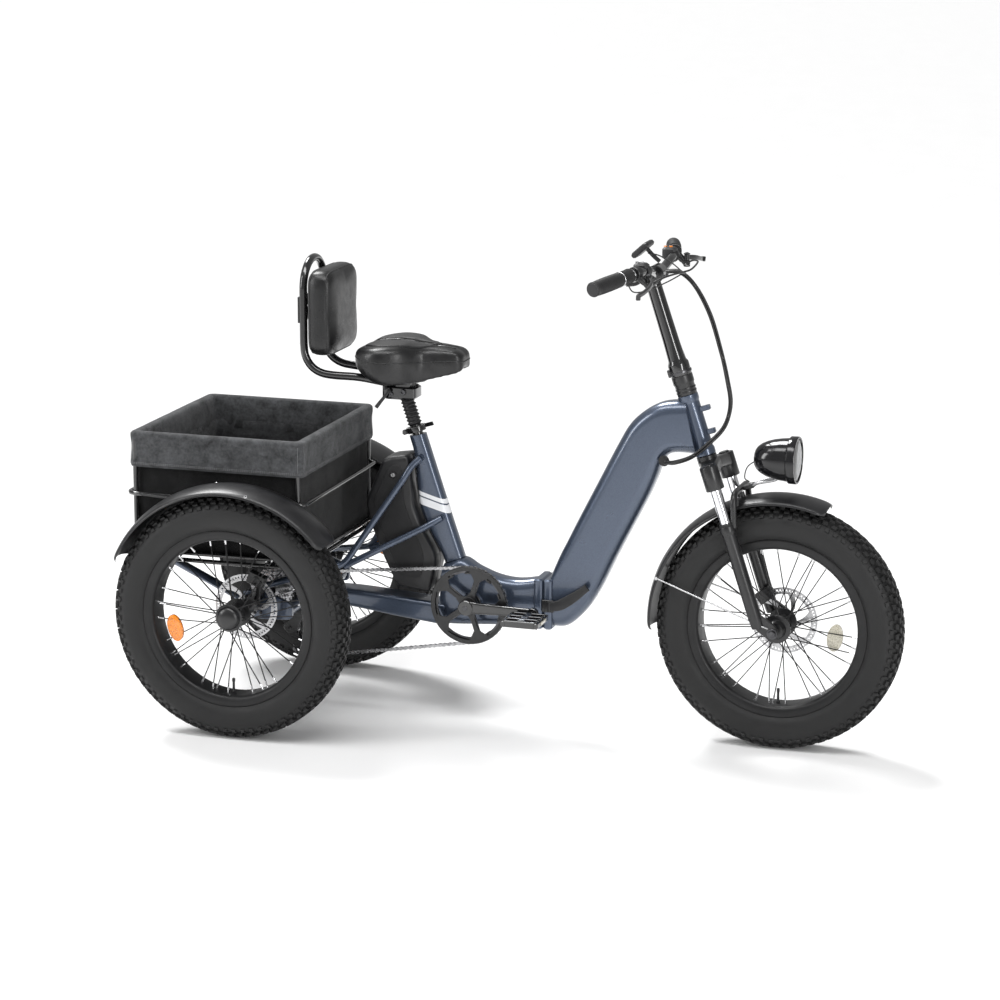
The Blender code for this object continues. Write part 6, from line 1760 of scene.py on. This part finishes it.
def add_headlight():
    forward = Matrix.Translation(HEADLIGHT_MID) @ Matrix.Rotation(pi / 2, 4, "Y")
    profile = [(0.0060, -0.1050), (0.0160, -0.1040), (0.0220, -0.1018), (0.0290, -0.0965),
               (0.0360, -0.0870), (0.0420, -0.0740),
               (0.0465, -0.0590), (0.0495, -0.0420), (0.0512, -0.0260), (0.0520, -0.0225),
               (0.0552, -0.0205), (0.0560, -0.0190),
               (0.0560, -0.0025), (0.0550, -0.0010), (0.0515, -0.0010), (0.0505, -0.0030),
               (0.0500, -0.0075)]
    shell = mesh_of([[Vector((r * cos(tau * i / 64), r * sin(tau * i / 64), z)) for i in range(64)]
                     for r, z in profile], capped=False)
    clamp = block((0.0280, 0.0300, 0.0100), 0.003,
                  STEER @ Matrix.Translation((ARCH_X + 0.0220, 0, -0.1720)))
    foot = STEER @ Vector((ARCH_X + 0.0260, 0, -0.1720))
    wire = [tube(smooth([foot + Vector((0, s * 0.010, 0)), foot + Vector((0.020, s * 0.013, 0.010)),
                         Vector((1.2420, s * 0.014, 0.6480)),
                         Vector((1.2520, s * 0.014, 0.6620))], 5), 0.0034, 14) for s in (-1, 1)]
    put("lamp_shell", moved(shell, forward), "gloss_plastic", "fork_lowers", "headlight_housing",
        angle=40)
    put("lamp_clamp", clamp, "satin_black", "fork_lowers")
    put("lamp_wires", merged(*wire, bolt(foot + Vector((0, 0, 0.003)), Vector((0, 0, 1)), 0.0050,
                                         0.0040)), "steel", "fork_lowers")
    bowl = [(0.0500, -0.0070), (0.0470, -0.0110), (0.0400, -0.0200), (0.0300, -0.0290),
            (0.0200, -0.0340), (0.0120, -0.0350)]
    facets = []
    for k, (r, z) in enumerate(bowl):
        ring = []
        for i in range(72):
            dent = -0.0010 if (i // 3 + k) % 2 else 0.0
            ring.append(Vector(((r + dent) * cos(tau * i / 72), (r + dent) * sin(tau * i / 72), z)))
        facets.append(ring)
    put("lamp_reflector", moved(mesh_of(facets, capped=False), forward), "mirror", "fork_lowers",
        angle=15)
    emitter = turned([(0.0115, -0.0352), (0.0115, -0.0300), (0.0085, -0.0260), (0.0040, -0.0240)], 28,
                     forward)
    hood = block((0.0900, 0.0100, 0.0030), 0.001, forward @ Matrix.Translation((0, 0, -0.0140)))
    put("lamp_emitter", merged(emitter, hood), "plastic", "fork_lowers")
    glass = turned([(0.0496, -0.0076), (0.0496, -0.0040), (0.0460, -0.0026), (0.0380, -0.0014),
                    (0.0240, -0.0006), (0.0100, -0.0003)], 64, forward)
    put("lamp_glass", glass, "glass", "fork_lowers", "headlight_lens", angle=60)


# ---- handlepost and controls ----
BAR_CENTRE = Vector((0.9470, 0, 1.1170))
GRIP_IN = Vector((0.9370, 0.2000, 1.1410))
GRIP_OUT = Vector((0.8935, 0.3570, 1.1305))
BAR_BEND = GRIP_IN.lerp(GRIP_OUT, -0.22)
SHIFT_PIVOT = Vector((0.9440, -0.1330, 1.1205))


def flip(point, sign):
    """The point on the left side for sign 1, on the right side for sign -1."""
    return Vector((point.x, sign * point.y, point.z))


def lever_pivot(sign):
    return Vector((0.9740, sign * 0.1740, 1.1300))


def add_handlepost():
    column = turned([(0.0180, 0.1225), (0.0250, 0.1228), (0.0255, 0.1236), (0.0255, 0.1490),
                     (0.0248, 0.1520), (0.0215, 0.1580),
                     (0.0208, 0.1620), (0.0195, 0.2000), (0.0188, 0.2600), (0.0182, 0.3300),
                     (0.0180, 0.3650), (0.0100, 0.3655)], 48, STEER)
    hinge = block((0.0090, 0.0260, 0.0180), 0.002, STEER @ Matrix.Translation((-0.0240, 0, 0.1330)))
    clamp = cross_rod(BAR_CENTRE, -0.0210, 0.0210, 0.0210, 40, 0.002)
    neck = rod(STEER @ Vector((0, 0, 0.3500)), BAR_CENTRE, 0.0160, 36)
    put("steering_column", merged(column, hinge, clamp, neck), "gloss_black", "handlepost",
        "handlepost")
    heads = [bolt(BAR_CENTRE + Vector((0.0200, y, -0.004)), Vector((0.9, 0, -0.3)).normalized(), 0.0040,
                  0.0034) for y in (-0.014, 0.014)]
    ring = sleeve(0.0240, 0.0268, 0.1270, 0.1330, 0.001, 56, STEER)
    put("column_bolts", merged(*heads, ring), "dark_steel", "handlepost")
    path = smooth([STEER @ Vector(p) for p in ((0.0040, 0.0300, 0.1330), (0.0040, 0.0300, 0.1600),
                                               (0.0020, 0.0262, 0.1950))], 6)
    blade = sweep(path, bar_section(0.0034, 0.0090, 0.0022))
    put("column_latch", blade, "satin_black", "handlepost_latch", "handlepost_latch")


def grip_mesh(outer, inner, shares, ribs):
    """Moulded grip with end bell, finger ribs and an inner collar."""
    length = (outer - inner).length
    path, radii = [], []
    steps = 110
    low, high = shares
    for i in range(steps + 1):
        t = low + (high - low) * i / steps
        bell = 0.0018 * max(0.0, 1 - t / 0.06) + 0.0010 * max(0.0, (t - 0.90) / 0.07)
        palm = 0.0013 * sin(pi * min(1.0, t / 0.75))
        rib = 0.0006 * (1 if (i // 2) % 2 else 0) if ribs[0] < t < ribs[1] else 0.0
        edge = min(1.0, (t - low) * length / 0.003)
        path.append(outer.lerp(inner, t))
        radii.append((0.0162 + palm + bell + rib) * (0.80 + 0.20 * sqrt(max(edge, 0.0))))
    return tube(path, radii, 32)


def add_handlebar():
    route = []
    for sign in (-1, 1):
        inner_bend = Vector((0.9560, sign * 0.1100, 1.1400))
        ends = [flip(GRIP_OUT.lerp(GRIP_IN, 0.1), sign), flip(BAR_BEND, sign), inner_bend,
                Vector((0.9480, sign * 0.0300, 1.1170))]
        route += ends if sign < 0 else ends[::-1]
    put("bar", tube(filleted(route, 0.05, 8), 0.0110, 28), "gloss_black", "handlepost", "handlebar",
        angle=60)
    for side, sign in (("right", -1), ("left", 1)):
        perch = lever_pivot(sign)
        mid = flip(GRIP_IN.lerp(GRIP_OUT, -0.14), sign)
        along = (flip(GRIP_IN, sign) - mid).normalized()
        shapes = [rod(mid - along * 0.0090, mid + along * 0.0090, 0.0165, 32, 0.0012),
                  tube(smooth([mid, mid.lerp(perch, 0.5) + Vector((0.004, 0, -0.012)),
                               perch + Vector((0, 0, -0.0180))], 4), [0.0085] * 5 + [0.0070] * 4, 18),
                  upright_rod(perch, -0.0220, -0.0075, 0.0080, 28, 0.001),
                  upright_rod(perch, 0.0072, 0.0100, 0.0080, 28, 0.001),
                  tube([perch + Vector((0.002, -sign * 0.006, -0.014)),
                        perch + Vector((0.010, -sign * 0.030, -0.010))], [0.0062, 0.0042], 18)]
        put("lever_perch_" + side, merged(*shapes), "satin_black", "handlepost")
        pod = block((0.034, 0.030, 0.030), 0.009, Matrix.Translation((0.9440, sign * 0.1290, 1.1450)),
                    5)
        band = rod(Vector((0.9530, sign * 0.1200, 1.1402)), Vector((0.9500, sign * 0.1380, 1.1407)),
                   0.0155, 32, 0.001)
        put("control_pod_" + side, merged(pod, band), "plastic", "handlepost")
        keys = [turned([(0.0042, -0.001), (0.0042, 0.0018), (0.0034, 0.0026)], 20,
                       Matrix.Translation((0.9400 + dx, sign * 0.1290, 1.1600)))
                for dx in (-0.007, 0.006)]
        put("pod_buttons_" + side, merged(*keys), "orange" if side == "left" else "steel", "handlepost")
        outer, inner = flip(GRIP_OUT, sign), flip(GRIP_IN, sign)
        split = 0.70 if side == "right" else 0.97
        put("hand_grip_" + side, grip_mesh(outer, inner, (0.0, split), (0.10, split - 0.05)), "grip",
            "handlepost", "grip_" + side,
            angle=50)
        cap = turned([(0.0150, -0.0006), (0.0140, 0.0006), (0.0060, 0.0012)], 28,
                     Matrix.Translation(outer) @ (outer - inner).normalized().to_track_quat("Z",
                                                            "Y").to_matrix().to_4x4())
        put("grip_end_" + side, cap, "plastic", "handlepost")
        if side == "right":
            put("twist_throttle", grip_mesh(outer, inner, (0.715, 0.97), (0.73, 0.96)), "grip",
                "throttle", "throttle", angle=50)
        collar_at = 1.02 if side == "left" else 1.0
        ring = rod(outer.lerp(inner, collar_at - 0.012), outer.lerp(inner, collar_at + 0.018), 0.0150,
                   36, 0.001)
        put("grip_collar_" + side, ring, "nipple", "handlepost")
        add_brake_lever(side, sign)
    outer, inner = flip(GRIP_OUT, -1), flip(GRIP_IN, -1)
    ring = rod(outer.lerp(inner, 0.700), outer.lerp(inner, 0.714), 0.0180, 36, 0.0006)
    put("throttle_ring", ring, "nipple", "handlepost")


def add_brake_lever(side, sign):
    pivot = lever_pivot(sign)
    boss = upright_rod(pivot, -0.0070, 0.0070, 0.0065, 24, 0.0006)
    path = smooth([pivot, pivot + Vector((0.013, sign * 0.026, -0.003)),
                   pivot + Vector((0.016, sign * 0.055, -0.009)),
                   pivot + Vector((0.013, sign * 0.085, -0.015)),
                   pivot + Vector((0.007, sign * 0.118, -0.020)),
                   pivot + Vector((0.010, sign * 0.128, -0.022))], 6)
    rings = []
    for i, (point, across_way, up) in enumerate(frames_along(path)):
        t = i / (len(path) - 1)
        wide, thick = 0.0062 - 0.0012 * sin(pi * t), 0.0036
        if t > 0.93:
            wide, thick = 0.0062, 0.0052
        outline = bar_section(thick, wide, 0.0026)
        rings.append([point + across_way * a + up * b for a, b in outline])
    screw = bolt(pivot + Vector((0, 0, 0.0100)), Vector((0, 0, 1)), 0.0040, 0.0020)
    put("lever_blade_" + side, merged(boss, mesh_of(rings)), "satin_black", "brake_lever_" + side,
        "brake_lever_" + side)
    put("lever_screw_" + side, screw, "dark_steel", "handlepost")


def add_display():
    tilt = Matrix.Translation((0.9120, 0, 1.1720)) @ Matrix.Rotation(radians(-42), 4, "Y")
    case = block((0.0500, 0.0640, 0.0130), 0.009, tilt, 5)
    stem = tube(smooth([Vector((0.9460, 0.0275, 1.1400)), Vector((0.9300, 0.0262, 1.1540)),
                        Vector((0.9150, 0.0250, 1.1700))], 4), 0.0050, 18)
    band = rod(Vector((0.9478, 0.0215, 1.1170)), Vector((0.9492, 0.0330, 1.1180)), 0.0150, 32, 0.001)
    put("display_case", merged(case, stem, band), "plastic", "handlepost", "display")
    screen = block((0.0400, 0.0540, 0.0012), 0.004, tilt @ Matrix.Translation((0, 0, 0.0066)), 4)
    put("display_screen", screen, "screen", "handlepost")
    start = SHIFT_PIVOT
    path = smooth([start, start + Vector((-0.012, -0.006, -0.008)),
                   start + Vector((-0.030, -0.016, -0.010))], 5)
    paddle = tube(path, [0.0060 - 0.0002 * k for k in range(len(path))], 20)
    put("shift_paddle", paddle, "plastic", "shift_lever", "shift_lever")


LOOM = vectors((0.9720, -0.010, 1.124), (1.0060, -0.012, 1.124), (1.0430, -0.014, 1.094),
               (1.0790, -0.016, 1.030),
               (1.1040, -0.016, 0.952), (1.1220, -0.014, 0.880), (1.1320, -0.014, 0.820),
               (1.1200, -0.020, 0.768),
               (1.0880, -0.044, 0.730), (1.0520, -0.060, 0.700), (1.0120, -0.060, 0.683),
               (0.9860, -0.0500, 0.678))


def add_short_cord(name, points, radius, body):
    """A cable held at both ends on one body."""
    points = smooth(points, 8)
    piece = put(name, tube(points, radius, 12), "hose", body, angle=60)
    shown = [SHIFT @ p for p in points]
    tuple(shown[0])
    path_length(points)


def add_bar_hoses():
    for side, sign, y_end in (("right", -1, -0.016), ("left", 1, -0.006)):
        perch = lever_pivot(sign)
        route = [perch + step for step in vectors((0.002, -sign * 0.012, -0.012),
                                                  (0.026, -sign * 0.040, 0.000),
                                                  (0.048, -sign * 0.085, 0.004))]
        route += vectors((1.0240, sign * 0.0300 - 0.010, 1.1270), (1.0100, y_end, 1.1230))
        add_short_cord("brake_hose_" + side, route, 0.0023, "handlepost")
    route = vectors((0.9330, -0.2080, 1.1230), (0.9420, -0.1900, 1.1020), (0.9600, -0.1400, 1.0980),
                    (0.9880, -0.0700, 1.1080), (1.0080, -0.0220, 1.1190))
    add_short_cord("throttle_wire", route, 0.0016, "handlepost")
    route = vectors((0.9200, 0.0180, 1.1600), (0.9480, 0.0150, 1.1560), (0.9800, 0.0060, 1.1420),
                    (1.0060, -0.0070, 1.1270))
    add_short_cord("display_wire", route, 0.0016, "handlepost")
    foot = STEER @ Vector((ARCH_X + 0.0260, 0, -0.1660))
    back = HEADLIGHT_MID + Vector((-0.1010, 0, -0.0060))
    add_short_cord("lamp_wire", [back, back.lerp(foot, 0.30) + Vector((-0.0160, -0.004, 0)),
                                 back.lerp(foot, 0.75) + Vector((-0.0150, -0.007, 0)),
                                 foot + Vector((0, -0.007, 0.0050))],
                   0.0014, "fork_lowers")


def path_length(points):
    return sum((b - a).length for a, b in zip(points, points[1:]))


def add_cables():
    """Three hoses in a loose twist, each cut ahead of the head tube into an upper and a lower piece."""
    route = smooth(LOOM, 8)
    placed = frames_along(route)
    cut = min(range(len(route)), key=lambda i: (route[i] - LOOM[7]).length)
    for k in range(3):
        line = []
        for i, (point, side, up) in enumerate(placed):
            a = tau * k / 3 + i * 0.055
            r = 0.0034
            line.append(point + side * (r * cos(a)) + up * (r * sin(a)))
        upper, lower = line[:cut + 1], line[cut:]
        for name, points, bodies in (("upper", upper, ("handlepost", "steering")),
                                     ("lower", lower, ("steering", "front_frame"))):
            shape = tube(points, 0.0025, 14)
            cad = "cable_loom" if k == 0 and name == "upper" else ()
            piece = put("hose_%s_%d" % (name, k + 1), shape, "hose", None, cad, angle=60)
            if name == "upper":
                start, end = SHIFT @ points[0].lerp(points[-1], 0.10), SHIFT @ points[-1]
            else:
                start, end = SHIFT @ points[0], SHIFT @ points[-1]
            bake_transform(piece)
            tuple(start)
            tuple(end)
            shown = [SHIFT @ p for p in points]
            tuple(shown[0])
            path_length(points)


# ---- studio ----
def add_camera():
    data = bpy.data.cameras.new("camera")
    data.sensor_width = 36
    data.lens = 113.40
    data.shift_x, data.shift_y = 0.03324, 0.016645
    data.clip_start, data.clip_end = 0.1, 60
    camera = added("camera", data)
    right, up, back = Vector((0.95000, 0.31227, 0)), Vector((-0.07264, 0.22100,
                                                            0.97258)), Vector((0.30370, -0.92394,
                                                            0.23263))
    turn = Matrix((right, up, back)).transposed().to_4x4()
    camera.matrix_world = Matrix.Translation((2.79207 + DATUM_X, -7.02990, 2.27000)) @ turn
    bpy.context.scene.camera = camera


def add_area(name, at, aim, size, power):
    data = bpy.data.lights.new(name, "AREA")
    data.shape, data.size, data.size_y, data.energy = "RECTANGLE", size[0], size[1], power
    light = added(name, data)
    light.location = at
    light.rotation_mode = "QUATERNION"
    light.rotation_quaternion = (Vector(at) - Vector(aim)).to_track_quat("Z", "Y")


def add_studio():
    world = bpy.data.worlds.new("studio")
    bpy.context.scene.world = world
    world.use_nodes = True
    sky = world.node_tree.nodes["Background"]
    sky.inputs["Color"].default_value = (1.0, 1.0, 1.0, 1)
    sky.inputs["Strength"].default_value = 0.38
    build = bmesh.new()
    reach, below = 90, -0.0004
    build.faces.new([build.verts.new((x * reach, y * reach, below)) for x,
                     y in ((-1, -1), (1, -1), (1, 1), (-1, 1))])
    floor = added("floor", finished(build))
    floor.data.materials.append(LOOKS["floor"])
    aim = (0, 0, 0.5)
    sun = bpy.data.lights.new("sun", "SUN")
    sun.energy, sun.angle = 2.9, radians(22)
    light = added("sun", sun)
    light.rotation_mode = "QUATERNION"
    light.rotation_quaternion = Vector((-0.55, 0.50, 1.0)).to_track_quat("Z", "Y")
    add_area("top", (-0.2, -1.2, 3.4), aim, (3.4, 0.8), 70)
    add_area("left", (-3.4, -2.4, 2.2), aim, (0.9, 2.4), 60)
    add_area("right", (3.2, -2.8, 1.7), aim, (0.6, 2.2), 60)
    bpy.context.scene.view_settings.view_transform = "Standard"


add_camera()
add_studio()
add_wheels()
add_rear_frame()
add_axle_parts()
add_basket()
add_rear_fenders()
add_chain()
add_sprockets()
add_crankset()
add_battery()
add_seat_hardware()
add_saddle()
add_backrest()
add_front_frame()
add_fork()
add_front_fender()
add_headlight()
add_handlepost()
add_handlebar()
add_display()
add_cables()
add_bar_hoses()
